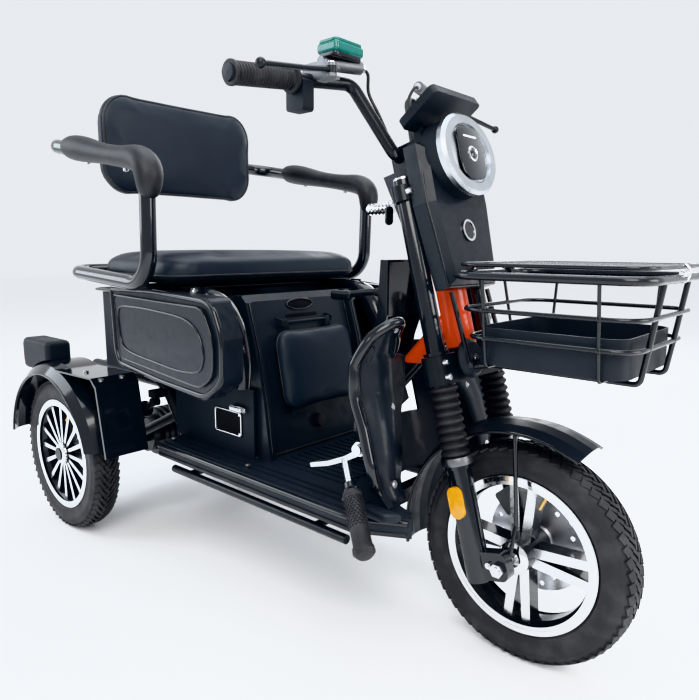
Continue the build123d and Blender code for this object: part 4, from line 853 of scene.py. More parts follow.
def between(line, value):
    """Where a line of (key, place) pairs is at a key."""
    for (low, start), (high, end) in zip(line, line[1:]):
        if value <= high:
            return start + (end - start) * (value - low) / (high - low)
    return line[-1][1]


def make_shields(settings):
    """Rolled rims, faces, beads, bolts and drop-shaped marks of the leg shields."""
    outer = [(138, 272), (124, 338), (110, 430), (101, 500), (113, 538), (140, 568), (176, 550),
             (198, 500), (199, 400), (199, 332), (186, 290)]
    for name, side in (("right", -1), ("left", 1)):
        rim, groove = [], []
        smooth = curved([Vector((0, y, z)) for y, z in outer[3:]], 8)
        for point in smooth:
            x = between(SHIELD_LINE, point.z)
            rim.append((x + 4, side * point.y, point.z))
        count = len(rim)
        sizes = [settings.rim_radius * min(1, 0.45 + 0.14 * min(index, count - 1 - index))
                 for index in range(count)]
        piece(name + "_shield_rim", [tube(rim, sizes, 16)], "gloss_black", "chassis",
              "gloss_black", 60)
        for point in smooth:
            inward = (Vector((0, 150, 440)) - point).normalized() * (settings.rim_radius + 4)
            spot = point + inward
            groove.append((between(SHIELD_LINE, spot.z) + 6, side * spot.y, spot.z))
        piece(name + "_shield_bead", [tube(groove, 1.6, 8)], "gloss_black", "chassis",
              "gloss_black", 60)
        verts, faces = [], []
        rows, low, high, bow = 30, 273, 572, 7
        for index in range(rows + 1):
            z = low + (high - low) * index / rows
            near, far = between(SHIELD_INNER, z), between(SHIELD_EDGE, z)
            for share in (0, 0.5, 1):
                lift = 4.4 + bow * sin(pi * index / rows) * (share == 0.5)
                verts.append(Vector((between(SHIELD_LINE, z) + lift,
                                     side * (near + (far - near) * share), z)))
        for row in range(rows):
            for column in range(2):
                first = row * 3 + column
                faces.append((first, first + 1, first + 4, first + 3))
        face = piece(name + "_shield_face", [(verts, faces)], "satin_black", "chassis",
                     "satin_black", 70)
        thick = face.modifiers.new("thick", "SOLIDIFY")
        thick.thickness = 0.0012
        top = [((between(SHIELD_LINE, 556) + 10, side * 138, 556), (0.9, 0, -0.5)),
               ((between(SHIELD_LINE, 300) + 8, side * 150, 300), (1, 0, 0.2)),
               ((between(SHIELD_LINE, 420) + 8, side * 120, 420), (1, 0, 0.3))]
        bolts(name + "_shield_bolts", top, 6.5, 4, "bright_steel", "chassis")
        drop = []
        for step in range(24):
            turn = 2 * pi * step / 24
            z = 512 + 17 * sin(turn)
            wide = 7 * cos(turn) * (1.0 if turn < pi else 0.75)
            drop.append((between(SHIELD_LINE, z) + 5.6, side * (168 + wide), z))
        piece(name + "_shield_drop", [tube(drop, 1.8, 8, closed=True)], "gloss_black", "chassis",
              "gloss_black", 60)


def cover_x(z):
    """How far forward the box's front cover stands at a height."""
    return between([(270, 590), (388, 573), (486, 551), (577, 524), (590, 511)], z)


def cover_line(y_list, z_list, lift):
    """Points on the front cover's face."""
    return [(cover_x(z) + lift, y, z) for y, z in zip(y_list, z_list)]


def make_box_details(settings):
    """Beads, slot, finger recess, pad bracket and plate on the box and its front cover."""
    heights = [276 + index * 10 for index in range(31)]
    beads = []
    for side in (-1, 1):
        for y, lift in ((139.5, 1.0), (149, 17.5)):
            beads.append(tube(cover_line([side * y] * len(heights), heights, lift), 2.2, 8))
    piece("cover_side_beads", beads, "gloss_black", "chassis", "gloss_black", 60)
    # The finger recess and the slot are near-black slabs: painted shade inside them.
    recess = []
    for y, z, wide, tall in ((0, 566, 34, 9), (0, 543, 46, 3.5)):
        outline = rounded_outline(wide, tall, min(wide, tall) * 0.95)
        lean = (Vector((cover_x(z + tall), 0, z + tall)) - Vector((cover_x(z - tall), 0, z - tall)))
        recess.append(slab(outline, (cover_x(z) + 0.2, y, z), (0, 1, 0), lean, 1.2, 0.4))
    piece("cover_finger_recess", recess, "shadow", "chassis", "moulded_black")
    ring = [(cover_x(566 + 11 * sin(t)) + 1.6, 37 * cos(t), 566 + 11 * sin(t))
            for t in (2 * pi * step / 40 for step in range(40))]
    piece("cover_recess_bead", [tube(ring, 1.8, 8, closed=True)], "gloss_black", "chassis",
          "gloss_black", 60)
    foot = [(cover_x(272) + 3, -155, 273), (cover_x(272) + 3, 155, 273)]
    piece("cover_foot_bead", [tube(foot, 3.2, 10)], "rubber", "chassis", "rubber", 60)
    bracket = slab([(-26, -6), (26, -6), (20, 12), (-20, 12)], (583, -58, 350), (0, 1, 0),
                   (-0.2, 0, 1), 14, 3)
    piece("pad_bracket", [bracket], "moulded_black", "chassis", "moulded_black")
    plate = slab(rounded_outline(44, 26, 4), (492, -168.3, 332), (1, 0, 0), (0, 0, 1), 1.4, 0.4)
    piece("blank_plate", [plate], "shadow", "chassis", "moulded_black")
    edge = [(492 + u, -170.2, 332 + v) for u, v in rounded_outline(42, 24, 4)]
    piece("blank_plate_border", [tube(edge, 1.2, 8, closed=True)], "chrome", "chassis",
          "bright_steel", 60)
    rivets = [((492 + u, -170.4, 332 + v), (0, -1, 0)) for u in (-38, 38) for v in (-20, 20)]
    bolts("blank_plate_rivets", rivets, 2.4, 2, "chrome", "chassis")
    rim = rounded_path([(500, -238, 588), (82, -238, 588), (82, 238, 588), (500, 238, 588)], 24)
    piece("tub_rim_bead", [tube(rim, 3.4, 10)], "gloss_black", "chassis", "gloss_black", 60)


def make_case_details(settings):
    """The grooves, glossy edges, piping and shoulder of the side cases."""
    face = 281.3
    groove = [(292, 560), (350, 566), (440, 563), (520, 556), (560, 540), (578, 512), (580, 484),
              (562, 462), (500, 456), (420, 462), (340, 470), (300, 484), (288, 520)]
    rim = [(252, 598), (420, 600), (580, 590), (604, 578), (626, 530), (624, 456), (604, 436),
           (572, 416), (430, 424), (270, 442), (258, 470)]
    lines = {"right": -1, "left": 1}
    for name, side in lines.items():
        y = side * (face + 6.3)
        path = curved([(x, y, z) for x, z in groove], 7, closed=True)
        piece(name + "_case_groove", [tube(path, 2.6, 8, closed=True)], "gloss_black", "chassis",
              "gloss_black", 60)
        y = side * (face - 1.5)
        path = rounded_path([(x, y, z) for x, z in rim + rim[:1]], 26)
        piece(name + "_case_rim", [tube(path, 5.2, 12)], "gloss_black", "chassis", "gloss_black",
              60)
        inset = [(272, 586), (580, 578), (609, 524), (606, 458), (566, 432), (286, 455)]
        path = rounded_path([(x, side * (face + 5), z) for x, z in inset + inset[:1]], 20)
        piece(name + "_case_edge", [tube(path, 2.2, 8)], "gloss_black", "chassis", "gloss_black",
              60)
        shoulder = []
        for x, z, size in ((470, 596, 10), (505, 590, 18), (540, 572, 24), (566, 540, 26),
                           (584, 500, 24), (594, 460, 20), (600, 424, 12)):
            shoulder.append(((x, side * 214, z), size))
        path = curved([spot for spot, size in shoulder], 6)
        sizes = [value.x for value in curved([(size, 0, 0) for spot, size in shoulder], 6)]
        piece(name + "_case_shoulder", [tube(path, sizes, 20)], "gloss_black", "chassis",
              "gloss_black", 60)


def make_floor_details():
    """Edge bumpers, skirts, front corner caps, rubber stops and screws."""
    for name, side in (("right", -1), ("left", 1)):
        y = side * 233.5
        band = [(330, y, 262), (620, y, 262), (886, y, 262), (925, side * 212, 262),
                (966, side * 190, 262)]
        piece(name + "_floor_edge", [tube(rounded_path(band, 30), 5.2, 12)], "gloss_black",
              "chassis", "gloss_black", 60)
        skirt = [(330, y, 243), (620, y, 243), (886, y, 243), (925, side * 212, 243),
                 (964, side * 190, 243)]
        piece(name + "_floor_skirt", [tube(rounded_path(skirt, 30), 3.4, 10)], "rubber",
              "chassis", "floor_black", 60)
        outline = [(0, 0), (62, 0), (74, -10), (82, -24), (22, -24), (-4, -12)]
        cap = slab([(u + 884, side * (v + 228)) for u, v in outline][::side], (0, 0, 268),
                   (1, 0, 0), (0, 1, 0), 16, 5, 3)
        piece(name + "_floor_corner", [cap], "floor_black", "chassis", "floor_black")
        knob = lathe([(0, 0), (11, 0), (13, 5), (13, 12), (9, 16), (0, 16)],
                     (884, side * 196, 222), (0, 0, 1), 32)
        piece(name + "_floor_stop", [knob], "rubber", "chassis", "rubber")
    spots = [((x, side * 208, 274.5), (0, 0, 1)) for side in (-1, 1) for x in (350, 600, 850)]
    bolts("floor_screws", spots, 5.5, 2.5, "bright_steel", "chassis")


def make_springs():
    """The brake return spring."""
    coil = []
    for step in range(15 * 14):
        turn = 2 * pi * step / 14
        coil.append((513 + step * 36 / (15 * 14), -175.6 + 6 * cos(turn), 366 + 6 * sin(turn)))
    hooks = [(505, -175.6, 366), (509, -175.6, 370)]
    spring = piece("return_spring_coil", [tube(hooks + coil, 1.1, 8)], "chrome", "chassis",
                   "bright_steel", 60)
    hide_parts("return_spring")


def make_fender_details():
    """Edge beads and bolts on the fenders, and the lenses of the tail lamps."""
    for name, side in (("right", -1), ("left", 1)):
        edge = []
        for step in range(40):
            turn = radians(172 - step * 3.2)
            edge.append((202 * cos(turn), side * 337, AXLE_Z + 202 * sin(turn)))
        piece(name + "_rear_fender_bead", [tube(edge, 2.6, 8)], "gloss_black", "chassis",
              "gloss_black", 60)
        lens = slab(rounded_outline(27, 30, 10), (-170.2, side * 281, 420), (0, -1, 0),
                    (0, 0, 1), 3, 1.4)
        piece(name + "_tail_lens", [lens], "red_lamp", "chassis", "red_lamp")
        amber = slab(rounded_outline(22, 7, 6), (-173.4, side * 281, 402), (0, -1, 0), (0, 0, 1),
                     2, 0.8)
        piece(name + "_rear_turn_lens", [amber], "amber_lamp", "chassis", "amber_lamp")
        spots = [((150, side * 300, 409.5), (0, 0, 1)), ((238, side * 262, 404), (0.4, 0, 1)),
                 ((238, side * 310, 404), (0.4, 0, 1))]
        bolts(name + "_rear_fender_bolts", spots, 6, 4, "bright_steel", "chassis")
    beads = []
    for side in (-1, 1):
        edge = []
        for step in range(44):
            turn = radians(62 + step * (190 - 62) / 43)
            edge.append((WHEELBASE + 211 * cos(turn), side * 49, AXLE_Z + 211 * sin(turn)))
        beads.append(tube(edge, 2.2, 8))
    piece("front_fender_beads", beads, "gloss_black", "fork_lower", "gloss_black", 60)


# ---- fork, column and lamp -------------------------------------------------------------------
def make_fork_details():
    """Dust seals, yoke bolts, cups below the boots and the horn."""
    for name, side in (("right", -1), ("left", 1)):
        foot = on_fork(0, side * 80, 168)
        cup = lathe([(18.5, 0), (26.5, 0), (27, 6), (25.4, 13), (20, 14)], foot, STEER_UP, 48)
        piece(name + "_boot_cup", [cup], "cast_alloy", "fork_lower", "cast_alloy")
        rings = []
        for low in (300 - 6, 349):
            rings.append(lathe([(17, 0), (21.5, 0), (21.5, 5), (17, 5)],
                               on_fork(0, side * 80, low), STEER_UP, 40))
        piece(name + "_yoke_rings", rings, "gloss_black", "steering", "gloss_black")
        cap = lathe([(0.2, 0), (15.5, 0), (15.5, 3), (11, 5), (0.2, 5)],
                    on_fork(0, side * 80, 643), STEER_UP, 32)
        piece(name + "_fork_cap", [cap], "chrome", "steering", "bright_steel")
    ahead = STEER_AHEAD
    spots = [(on_fork(24, side * 92, z), ahead) for side in (-1, 1) for z in (312, 336)]
    spots += [(on_fork(18.5, side * 94, 619), ahead) for side in (-1, 1)]
    bolts("yoke_bolts", spots, 5.5, 6, "bright_steel", "steering")
    spots = [(on_fork(30, side * 93, 6), (0, side, 0)) for side in (-1, 1)]
    bolts("axle_pinch_bolts", spots, 5, 6, "bright_steel", "fork_lower")
    horn = lathe([(0.2, 14), (26, 14), (31, 10), (33, 4), (31, 0), (14, -8), (0.2, -8)],
                 on_fork(31, -38, 334), ahead, 48)
    piece("horn", [horn], "moulded_black", "steering", "moulded_black")
    bolts("horn_bolt", [(on_fork(46, -38, 334), ahead)], 7, 4, "chrome", "steering")


def make_lamp():
    """The headlight's bowl, glass, projector and light strip, and the column's plain ring."""
    center = on_fork(84, 0, 666)
    ahead = STEER_AHEAD
    rings = [(0.0, 4.0), (0.3, 3.6), (0.6, 2.6), (0.85, 1.0), (1.0, -2.0)]
    verts, faces = [], []
    steps = 64
    for share, rise in rings:
        for step in range(steps):
            turn = 2 * pi * step / steps
            spot = center + ahead * rise + Vector((0, 1, 0)) * cos(turn) * 60 * max(share, 0.01)
            verts.append(spot + STEER_UP * sin(turn) * 50 * max(share, 0.01))
    for ring in range(len(rings) - 1):
        for step in range(steps):
            after = (step + 1) % steps
            faces.append((ring * steps + step, (ring + 1) * steps + step,
                          (ring + 1) * steps + after, ring * steps + after))
    faces.append(tuple(range(steps)))
    bowl = piece("headlight_bowl", [(verts, faces)], "bezel_silver", "steering", "lens_dark", 60)
    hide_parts("headlight_lens")
    outline = [(30, 40), (-30, 40), (-37, 8), (-38, -22), (-28, -40), (0, -45), (28, -40),
               (38, -22), (37, 8)]
    edge = curved([Vector((u, v, 0)) for u, v in outline], 6, closed=True)
    glass = slab([(point.x, point.y) for point in edge], center + ahead * 4.6, (0, 1, 0),
                 STEER_UP, 3, 1.4)
    piece("headlight_glass", [glass], "lens_dark", "steering", "lens_dark")
    eye = center - STEER_UP * 2 + ahead * 7.4
    ring = lathe([(9.5, 0), (13, 0), (13, 1.6), (11.6, 2.8), (9.5, 2)], eye, ahead, 48)
    piece("projector_ring", [ring], "chrome", "steering", "bezel_silver")
    ball = lathe([(0.2, 4), (4, 3.6), (7, 2.6), (9.4, 0.5), (0.2, 0.5)], eye, ahead, 48)
    piece("projector_lens", [ball], "lens_dark", "steering", "lens_dark")
    strip = slab(rounded_outline(20, 1.6, 1.5), center + ahead * 7.5 + STEER_UP * 27, (0, 1, 0),
                 STEER_UP, 0.8, 0.3)
    piece("headlight_strip", [strip], "lamp_glow", "steering", "lens_dark")
    badge = on_fork(57.2, 0, 545)
    shape = lathe([(15, 0), (18.5, 0), (18.5, 2), (15, 2)], badge, ahead, 48)
    disc = lathe([(0.2, 0), (15, 0), (15, 0.8), (0.2, 0.8)], badge, ahead, 48)
    piece("badge_ring", [shape], "chrome", "steering", "bezel_silver")
    piece("badge_disc", [disc], "gloss_black", "steering", "gloss_black")


def make_column_details():
    """Bevel lines on the fairing, the ribbed cylinder, and the key's ring and fob."""
    right = [on_fork(45, y, z) for y, z in ((-74, 456), (-90, 592), (-87, 640))]
    left = [on_fork(45, y, z) for y, z in ((74, 456), (90, 592), (87, 640))]
    low = [on_fork(45, y, 454) for y in (-73, 73)]
    piece("fairing_edges", [tube(path, 1.7, 8) for path in (right, left, low)], "gloss_black",
          "steering", "gloss_black", 60)
    ribs = []
    for index in range(7):
        ribs += [(9.5, index * 9 + 1), (11.5, index * 9 + 3), (11.5, index * 9 + 6),
                 (9.5, index * 9 + 8)]
    shape = lathe([(0.2, 0)] + ribs + [(0.2, 66)], (742, 50, 760), (-1, 0, 0), 32)
    piece("chrome_canister", [shape], "chrome", "steering", "bright_steel", 30)
    fob = slab(rounded_outline(8, 17, 7.5, 8), (792, -30, 742), (0.3, 1, 0), (0, 0, 1), 6, 2)
    ring = [(797 + 2 * sin(t), -30 + 7 * cos(t), 767 + 7 * sin(t))
            for t in (2 * pi * step / 24 for step in range(24))]
    piece("key_ring", [tube(ring, 0.9, 8, closed=True)], "chrome", "ignition_key", "bright_steel")
    piece("key_fob", [fob], "gloss_black", "ignition_key", "gloss_black")


# ---- handlebar -------------------------------------------------------------------------------
def bar_spot(side, y):
    """A place on the handlebar's outer run."""
    share = (y - 176) / (322 - 176)
    return Vector((722, side * y, 957 - 17 * share))


def make_grips():
    """The ribbed grips with their collars and end plugs."""
    for name, side, body in (("throttle", -1, "throttle"), ("left", 1, "steering")):
        start, end = bar_spot(side, 196), bar_spot(side, 323)
        ahead = (end - start).normalized()
        length = (end - start).length
        profile = [(11.2, 0), (22, 0), (23, 2), (22.5, 6), (17.5, 8)]
        far = 12.0
        while far < length - 10:
            profile += [(16.2, far), (17.6, far + 1), (17.6, far + 3.4), (16.2, far + 4.4)]
            far += 6.0
        profile += [(17.2, length - 8), (19, length - 5), (19, length - 1), (17, length + 1),
                    (11.2, length + 1)]
        shape = lathe(profile, start, ahead, 40)
        grip = piece(name + "_grip_rubber", [shape], "rubber", body, "rubber", 30)
        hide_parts("throttle_grip" if side < 0 else "left_grip")
        cap = lathe([(0.2, 0), (13, 0), (12, 4), (0.2, 5)], end + ahead * 1.2, ahead, 32)
        piece(name + "_bar_end", [cap], "moulded_black", body, "moulded_black")


def make_control_details():
    """The reservoir's lid, the lever blades' pivots, the switches and the brake hoses."""
    lid = slab(rounded_outline(21, 33, 7), (761, -123, 1013), (1, 0, 0), (0, 1, 0), 5, 1.5, 3)
    piece("reservoir_lid", [lid], "reservoir_teal", "steering", "reservoir_teal")
    base = slab(rounded_outline(20, 33, 7), (761, -123, 990), (1, 0, 0), (0, 1, 0), 9, 2.5)
    piece("reservoir_base", [base], "gloss_black", "steering", "gloss_black")
    spots = [((761, y, 1018.2), (0, 0, 1)) for y in (-148, -98)]
    bolts("reservoir_screws", spots, 3, 1.6, "chrome", "steering")
    for name, side in (("right", -1), ("left", 1)):
        pivot = [((786, side * 172, 972.8), (0, 0, 1))]
        bolts(name + "_lever_pivot", pivot, 6, 3.5, "chrome", "steering")
        buttons = []
        for z, wide in ((944, 6), (931, 8), (917, 6)):
            buttons.append(slab(rounded_outline(wide, 4, 3.5), (701.8, side * 179.5, z),
                                (0, -1, 0), (0, 0, 1), 3, 1))
        piece(name + "_switch_buttons", buttons, "rubber", "steering", "rubber")
        hose = curved([(772, side * 82, 984), (772, side * 66, 978), (766, side * 56, 950),
                       (782, side * 46, 912), (806, side * 40, 862), (822, side * 46, 838)], 10)
        piece(name + "_brake_hose", [tube(hose, 2.8, 10)], "rubber", "steering", "rubber", 60)
        fitting = lathe([(0.2, 0), (6.5, 0), (6.5, 7), (0.2, 7)], (771, side * 84, 985),
                        (0.2, -side, 0), 24)
        piece(name + "_hose_fitting", [fitting], "bright_steel", "steering", "bright_steel")


def make_display():
    """The display's dark glass."""
    back, front = on_fork(4.6, 0, 741.7), on_fork(81.6, 0, 773.9)
    ahead = (front - back).normalized()
    up = Vector((-ahead.z, 0, ahead.x))
    middle = (back + front) / 2 + up * 0.3
    glass = slab(rounded_outline(34, 60, 8), middle, ahead, (0, 1, 0), 1.4, 0.5)
    piece("display_glass", [glass], "lens_dark", "display", "lens_dark")


# ---- basket ----------------------------------------------------------------------------------
def make_basket_details():
    """The lid's latch spring and hook, the tray's ribs and the beads where wires cross."""
    front = (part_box("basket_frame")[1].x - REAR_AXLE.x) / MM
    coil = []
    turns, sides, radius = 9, 12, 3.6
    for step in range(turns * sides):
        turn = 2 * pi * step / sides
        coil.append((front - 1 + radius * cos(turn), -13 + step * 26 / (turns * sides),
                     652 + radius * sin(turn)))
    piece("latch_spring", [tube(coil, 0.8, 6)], "chrome", "steering", "bright_steel", 60)
    hook = curved([(front - 6, 18, 664), (front - 1, 18, 660), (front + 1, 18, 650),
                   (front - 3, 18, 642), (front - 8, 18, 640)], 5)
    piece("latch_hook", [tube(hook, 2.2, 8)], "chrome", "steering", "bright_steel", 60)
    ribs = []
    for y in range(-72, 73, 24):
        ribs.append(slab(rounded_outline(88, 3, 2.8), (1132, y, 515.4), (1, 0, 0), (0, 1, 0), 2.2,
                         0.8))
    piece("tray_ribs", ribs, "moulded_black", "steering", "moulded_black")
    welds = []
    for x in (1045, 1213):
        for side in (-1, 1):
            for y, z in ((117, 553), (123, 595), (130, 645)):
                welds.append(((x, side * y, z), (0, side, 0), (1, 0, 0)))
    repeat("basket_welds", "bead", welds, (5.0, 0, 0), "wire_black", "steering")


# ---- foot pedal and parking lever ------------------------------------------------------------
def make_pedal():
    """The knurled pedal rubber with its collar, and the spindle's end."""
    top, end = Vector((836, -192, 337)), Vector((958, -285, 250))
    line = (end - top).normalized()
    start = top + (end - top) * 0.4
    length = (end - top).length * 0.64
    profile = [(6.6, 0), (14, 0), (16, 2), (16.4, 8), (14.6, 10), (14.6, length - 16),
               (16.6, length - 12), (17, length - 5), (12, length + 1), (0.3, length + 2)]
    sleeve = piece("pedal_rubber_sleeve", [lathe(profile, start, line, 40)], "rubber",
                   "foot_pedal", "rubber", 40)
    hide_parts("pedal_rubber")
    side = line.cross(Vector((0, 0, 1))).normalized()
    up = side.cross(line)
    spots = []
    for ring in range(12):
        for step in range(14):
            turn = 2 * pi * (step + 0.5 * (ring % 2)) / 14
            out = side * cos(turn) + up * sin(turn)
            spot = start + line * (14 + ring * 4.6) + out * 14.6
            spots.append((spot, out, line + out.cross(line)))
    repeat("pedal_knurl", "block", spots, (3.2, 3.2, 3.0), "rubber", "foot_pedal")
    collar = lathe([(6.6, 0), (12, 0), (12, 10), (9, 13), (6.6, 13)], start - line * 16, line, 32)
    piece("pedal_collar", [collar], "gloss_black", "foot_pedal", "gloss_black")
    bolts("pedal_pivot_bolt", [((872, -203.5, 364), (0, -1, 0))], 9, 5, "chrome", "chassis")


def make_parking_lever():
    """The wrinkled boot round the parking lever's root."""
    low = Vector((766, 25, 600))
    ahead = Vector((-1, 0, -0.03)).normalized()
    profile = []
    for index in range(6):
        radius = 14.5 - index * 1.2
        profile += [(radius - 2, index * 8), (radius, index * 8 + 2), (radius, index * 8 + 5)]
    profile += [(7.2, 48), (7.2, 0)]
    piece("parking_lever_boot", [lathe(profile, low, ahead, 32)], "rubber", "parking_brake",
          "rubber", 45)


def make_hinge_hardware():
    """Hinge nuts and bolts of the seat and its ears."""
    spots = []
    for side in (-1, 1):
        spots.append(((485, side * 238, 600), (0, side, 0)))
    bolts("seat_hinge_nuts", spots, 8, 5, "bright_steel", "seat")
    spots = [((x, side * 233, 594.5), (0, 0, 1)) for side in (-1, 1) for x in (436, 460)]
    bolts("seat_bracket_bolts", spots, 4, 3, "bright_steel", "chassis")


def dress_frame():
    """Give every CAD node the procedural finish of its slot."""
    slots = {part["node"]: part["material_slot"] for part in frame["record"]["subparts"]}
    for node, shown in frame["nodes"].items():
        shown.data.materials.clear()
        shown.data.materials.append(PAINT[slots[node]])


# ---- stage, lights and camera ----------------------------------------------------------------
FLOOR_REACH = 14.0
CAMERA_SENSOR, CAMERA_LENS = 36.0, 32.28
CAMERA_FROM_AXLE = Vector((1.5091, -0.9347, 0.6840))
CAMERA_ANGLES = (41.80, 9.21, 0.24)       # azimuth, pitch and roll, degrees


def make_stage(light):
    """The pale floor, the soft studio lights and the camera."""
    world = bpy.data.worlds.new("studio_air")
    world.use_nodes = True
    sky = world.node_tree.nodes["Background"]
    sky.inputs["Color"].default_value = (0.93, 0.96, 1.0, 1)
    sky.inputs["Strength"].default_value = light.air
    bpy.context.scene.world = world
    floor_mesh = bpy.data.meshes.new("studio_floor")
    corners = ((-1, -1), (1, -1), (1, 1), (-1, 1))
    floor_mesh.from_pydata([(x * FLOOR_REACH, y * FLOOR_REACH, 0) for x, y in corners], [],
                           [(0, 1, 2, 3)])
    floor = bpy.data.objects.new("studio_floor", floor_mesh)
    bpy.context.collection.objects.link(floor)
    material, tree, shader = start_material("pale_floor", (0.93, 0.94, 0.95), 0.75)
    cloud = noise(tree, coordinates(tree), 1.5, 2)
    tone = mix_colors(tree, cloud, (0.92, 0.93, 0.94), (0.95, 0.95, 0.95))
    tree.links.new(tone, shader.inputs["Base Color"])
    floor_mesh.materials.append(material)
    lamps = (("key_softbox", (2.4, -2.6, 3.0), 2.4, light.key, (1.0, 0.98, 0.95)),
             ("side_softbox", (-2.6, -2.2, 1.8), 2.2, light.key * 0.5, (0.85, 0.92, 1.0)),
             ("top_softbox", (0.2, 0.4, 3.6), 3.0, light.key * 0.8, (0.86, 0.93, 1.0)),
             ("back_softbox", (-1.2, 3.2, 2.2), 2.4, light.key * 0.5, (0.95, 0.97, 1.0)),
             ("front_strip", (3.4, 0.8, 1.4), 1.6, light.key * 0.4, (1.0, 1.0, 1.0)))
    for name, spot, size, power, tint in lamps:
        data = bpy.data.lights.new(name, "AREA")
        data.shape, data.size, data.energy, data.color = "SQUARE", size, power, tint
        lamp = bpy.data.objects.new(name, data)
        lamp.location = spot
        aim = Vector((0, 0, 0.45)) - Vector(spot)
        lamp.rotation_euler = aim.to_track_quat("-Z", "Y").to_euler()
        bpy.context.collection.objects.link(lamp)
    data = bpy.data.cameras.new("camera")
    data.sensor_width, data.lens = CAMERA_SENSOR, CAMERA_LENS
    camera = bpy.data.objects.new("camera", data)
    camera.rotation_mode = "QUATERNION"
    camera.location = Vector((REAR_AXLE.x, 0, 0)) + CAMERA_FROM_AXLE
    azimuth, pitch, roll = (radians(angle) for angle in CAMERA_ANGLES)
    back = Vector((sin(azimuth) * cos(pitch), -cos(azimuth) * cos(pitch), sin(pitch)))
    turned = (-back).to_track_quat("-Z", "Y")
    camera.rotation_quaternion = turned @ Matrix.Rotation(roll, 3, "Z").to_quaternion()
    bpy.context.collection.objects.link(camera)
    bpy.context.scene.camera = camera
    bpy.context.scene.view_settings.view_transform = "Khronos PBR Neutral"


# ---- settings, operators and panel -----------------------------------------------------------
def color_property(name, text, default):
    """A colour setting."""
    return FloatVectorProperty(name=name, description=text, default=default, subtype="COLOR",
                               size=3, min=0, max=1)


class ScooterWheelSettings(bpy.types.PropertyGroup):
    tread_count: IntProperty(name="Tread blocks", description="Blocks in each row round a tyre",
                             default=62, min=12, max=120)
    tread_height: FloatProperty(name="Tread height", description="Depth of the tread, millimetres",
                                default=2.6, min=1.0, max=10.0)


class ScooterSeatSettings(bpy.types.PropertyGroup):
    pressure: FloatProperty(name="Stuffing", description="Pressure that swells the pads",
                            default=12.0, min=0.5, max=20.0)
    piping: FloatProperty(name="Piping", description="Radius of the piping, millimetres",
                          default=3.0, min=0.5, max=8.0)


class ScooterLookSettings(bpy.types.PropertyGroup):
    plastic: color_property("Plastic", "Colour of the moulded panels", (0.013, 0.0155, 0.02))
    paint: color_property("Paint", "Colour of the gloss paint", (0.007, 0.0085, 0.011))
    vinyl: color_property("Vinyl", "Colour of the seat covers", (0.014, 0.018, 0.025))
    rim_radius: FloatProperty(name="Shield rim", default=9.0, min=2.0, max=16.0,
                              description="Radius of the leg shields' rolled rim, millimetres")


class ScooterLightSettings(bpy.types.PropertyGroup):
    key: FloatProperty(name="Key light", description="Power of the main softbox", default=120.0,
                       min=0.0, max=1000.0, unit="POWER")
    air: FloatProperty(name="Air", description="Strength of the light from all round", default=1.0,
                       min=0.0, max=5.0)


class SCOOTER_OT_frame(bpy.types.Operator):
    """Finish the CAD frame and panels with their materials"""
    bl_idname = "scooter.frame"
    bl_label = "Frame finishes"

    def execute(self, context):
        PAINT.update(make_materials(context.scene.scooter_look))
        dress_frame()
        return {"FINISHED"}


class SCOOTER_OT_tyres(bpy.types.Operator):
    """Build the three tyres with their tread"""
    bl_idname = "scooter.tyres"
    bl_label = "Tyres"

    def execute(self, context):
        make_tyres(context.scene.scooter_wheels)
        return {"FINISHED"}


class SCOOTER_OT_rims(bpy.types.Operator):
    """Build the rims' lips, caps, valves and disc bolts"""
    bl_idname = "scooter.rims"
    bl_label = "Rim details"

    def execute(self, context):
        make_rims()
        return {"FINISHED"}


class SCOOTER_OT_seat(bpy.types.Operator):
    """Stuff the cushion and backrest and sew on their piping"""
    bl_idname = "scooter.seat"
    bl_label = "Seat"

    def execute(self, context):
        make_seat(context.scene.scooter_seat)
        make_arm_pads()
        return {"FINISHED"}


class SCOOTER_OT_child_pad(bpy.types.Operator):
    """Stuff the child's back pad"""
    bl_idname = "scooter.child_pad"
    bl_label = "Child's pad"

    def execute(self, context):
        make_child_pad(context.scene.scooter_seat)
        return {"FINISHED"}


class SCOOTER_OT_shields(bpy.types.Operator):
    """Build the leg shields' rims, beads and bolts"""
    bl_idname = "scooter.shields"
    bl_label = "Leg shields"

    def execute(self, context):
        make_shields(context.scene.scooter_look)
        return {"FINISHED"}


class SCOOTER_OT_box(bpy.types.Operator):
    """Build the box's beads, recesses, plate, cases and return spring"""
    bl_idname = "scooter.box"
    bl_label = "Box and cases"

    def execute(self, context):
        make_box_details(context.scene.scooter_look)
        make_case_details(context.scene.scooter_look)
        make_springs()
        make_hinge_hardware()
        return {"FINISHED"}


class SCOOTER_OT_floor(bpy.types.Operator):
    """Build the footboard's edges, corners, stops and screws"""
    bl_idname = "scooter.floor"
    bl_label = "Footboard"

    def execute(self, context):
        make_floor_details()
        return {"FINISHED"}


class SCOOTER_OT_fenders(bpy.types.Operator):
    """Build the fenders' beads and bolts and the tail lenses"""
    bl_idname = "scooter.fenders"
    bl_label = "Fenders and tail lamps"

    def execute(self, context):
        make_fender_details()
        return {"FINISHED"}


class SCOOTER_OT_fork(bpy.types.Operator):
    """Build the fork's cups, rings, bolts and horn"""
    bl_idname = "scooter.fork"
    bl_label = "Fork"

    def execute(self, context):
        make_fork_details()
        return {"FINISHED"}


class SCOOTER_OT_lamp(bpy.types.Operator):
    """Build the headlight's insides, the badge ring and the column's trim"""
    bl_idname = "scooter.lamp"
    bl_label = "Headlight and column"

    def execute(self, context):
        make_lamp()
        make_column_details()
        return {"FINISHED"}


class SCOOTER_OT_handlebar(bpy.types.Operator):
    """Build the grips, reservoirs' lids, switches, hoses and the display's glass"""
    bl_idname = "scooter.handlebar"
    bl_label = "Handlebar"

    def execute(self, context):
        make_grips()
        make_control_details()
        make_display()
        return {"FINISHED"}


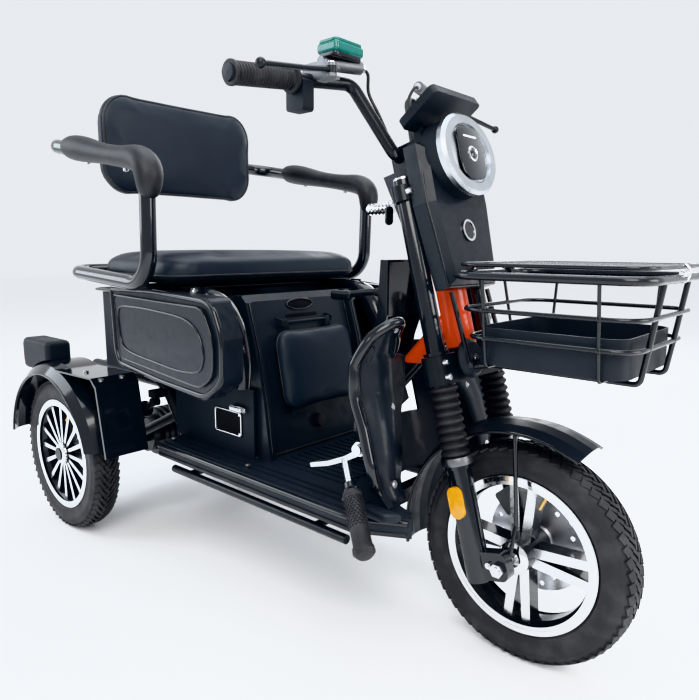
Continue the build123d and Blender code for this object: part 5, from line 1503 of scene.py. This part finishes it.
class SCOOTER_OT_basket(bpy.types.Operator):
    """Build the basket's latch, welds and tray ribs"""
    bl_idname = "scooter.basket"
    bl_label = "Basket"

    def execute(self, context):
        make_basket_details()
        return {"FINISHED"}


class SCOOTER_OT_controls(bpy.types.Operator):
    """Build the foot pedal's rubber and the parking lever's boot"""
    bl_idname = "scooter.controls"
    bl_label = "Pedal and parking lever"

    def execute(self, context):
        make_pedal()
        make_parking_lever()
        return {"FINISHED"}


class SCOOTER_OT_stage(bpy.types.Operator):
    """Set up the pale floor, the studio lights and the camera"""
    bl_idname = "scooter.stage"
    bl_label = "Stage"

    def execute(self, context):
        make_stage(context.scene.scooter_light)
        return {"FINISHED"}


OPERATORS = (
    SCOOTER_OT_frame, SCOOTER_OT_stage, SCOOTER_OT_tyres, SCOOTER_OT_rims, SCOOTER_OT_seat,
    SCOOTER_OT_child_pad, SCOOTER_OT_shields, SCOOTER_OT_box, SCOOTER_OT_floor,
    SCOOTER_OT_fenders, SCOOTER_OT_fork, SCOOTER_OT_lamp, SCOOTER_OT_handlebar,
    SCOOTER_OT_basket, SCOOTER_OT_controls,
)
SETTINGS = {
    "scooter_wheels": ScooterWheelSettings,
    "scooter_seat": ScooterSeatSettings,
    "scooter_look": ScooterLookSettings,
    "scooter_light": ScooterLightSettings,
}


class SCOOTER_PT_panel(bpy.types.Panel):
    bl_idname = "SCOOTER_PT_panel"
    bl_label = "Three-wheel scooter"
    bl_space_type = "VIEW_3D"
    bl_region_type = "UI"
    bl_category = "Scooter"

    def draw(self, context):
        for name, group in SETTINGS.items():
            for setting in group.__annotations__:
                self.layout.prop(getattr(context.scene, name), setting)
        for operator in OPERATORS:
            self.layout.operator(operator.bl_idname)


def register():
    for group in SETTINGS.values():
        bpy.utils.register_class(group)
    for operator in OPERATORS:
        bpy.utils.register_class(operator)
    bpy.utils.register_class(SCOOTER_PT_panel)
    for name, group in SETTINGS.items():
        setattr(bpy.types.Scene, name, PointerProperty(type=group))


def unregister():
    for name in SETTINGS:
        delattr(bpy.types.Scene, name)
    bpy.utils.unregister_class(SCOOTER_PT_panel)
    for operator in reversed(OPERATORS):
        bpy.utils.unregister_class(operator)
    for group in SETTINGS.values():
        bpy.utils.unregister_class(group)


def main():
    """Register the classes and build every piece in order."""
    register()
    for operator in OPERATORS:
        family, name = operator.bl_idname.split(".")
        getattr(getattr(bpy.ops, family), name)()


if __name__ == "__main__":
    main()
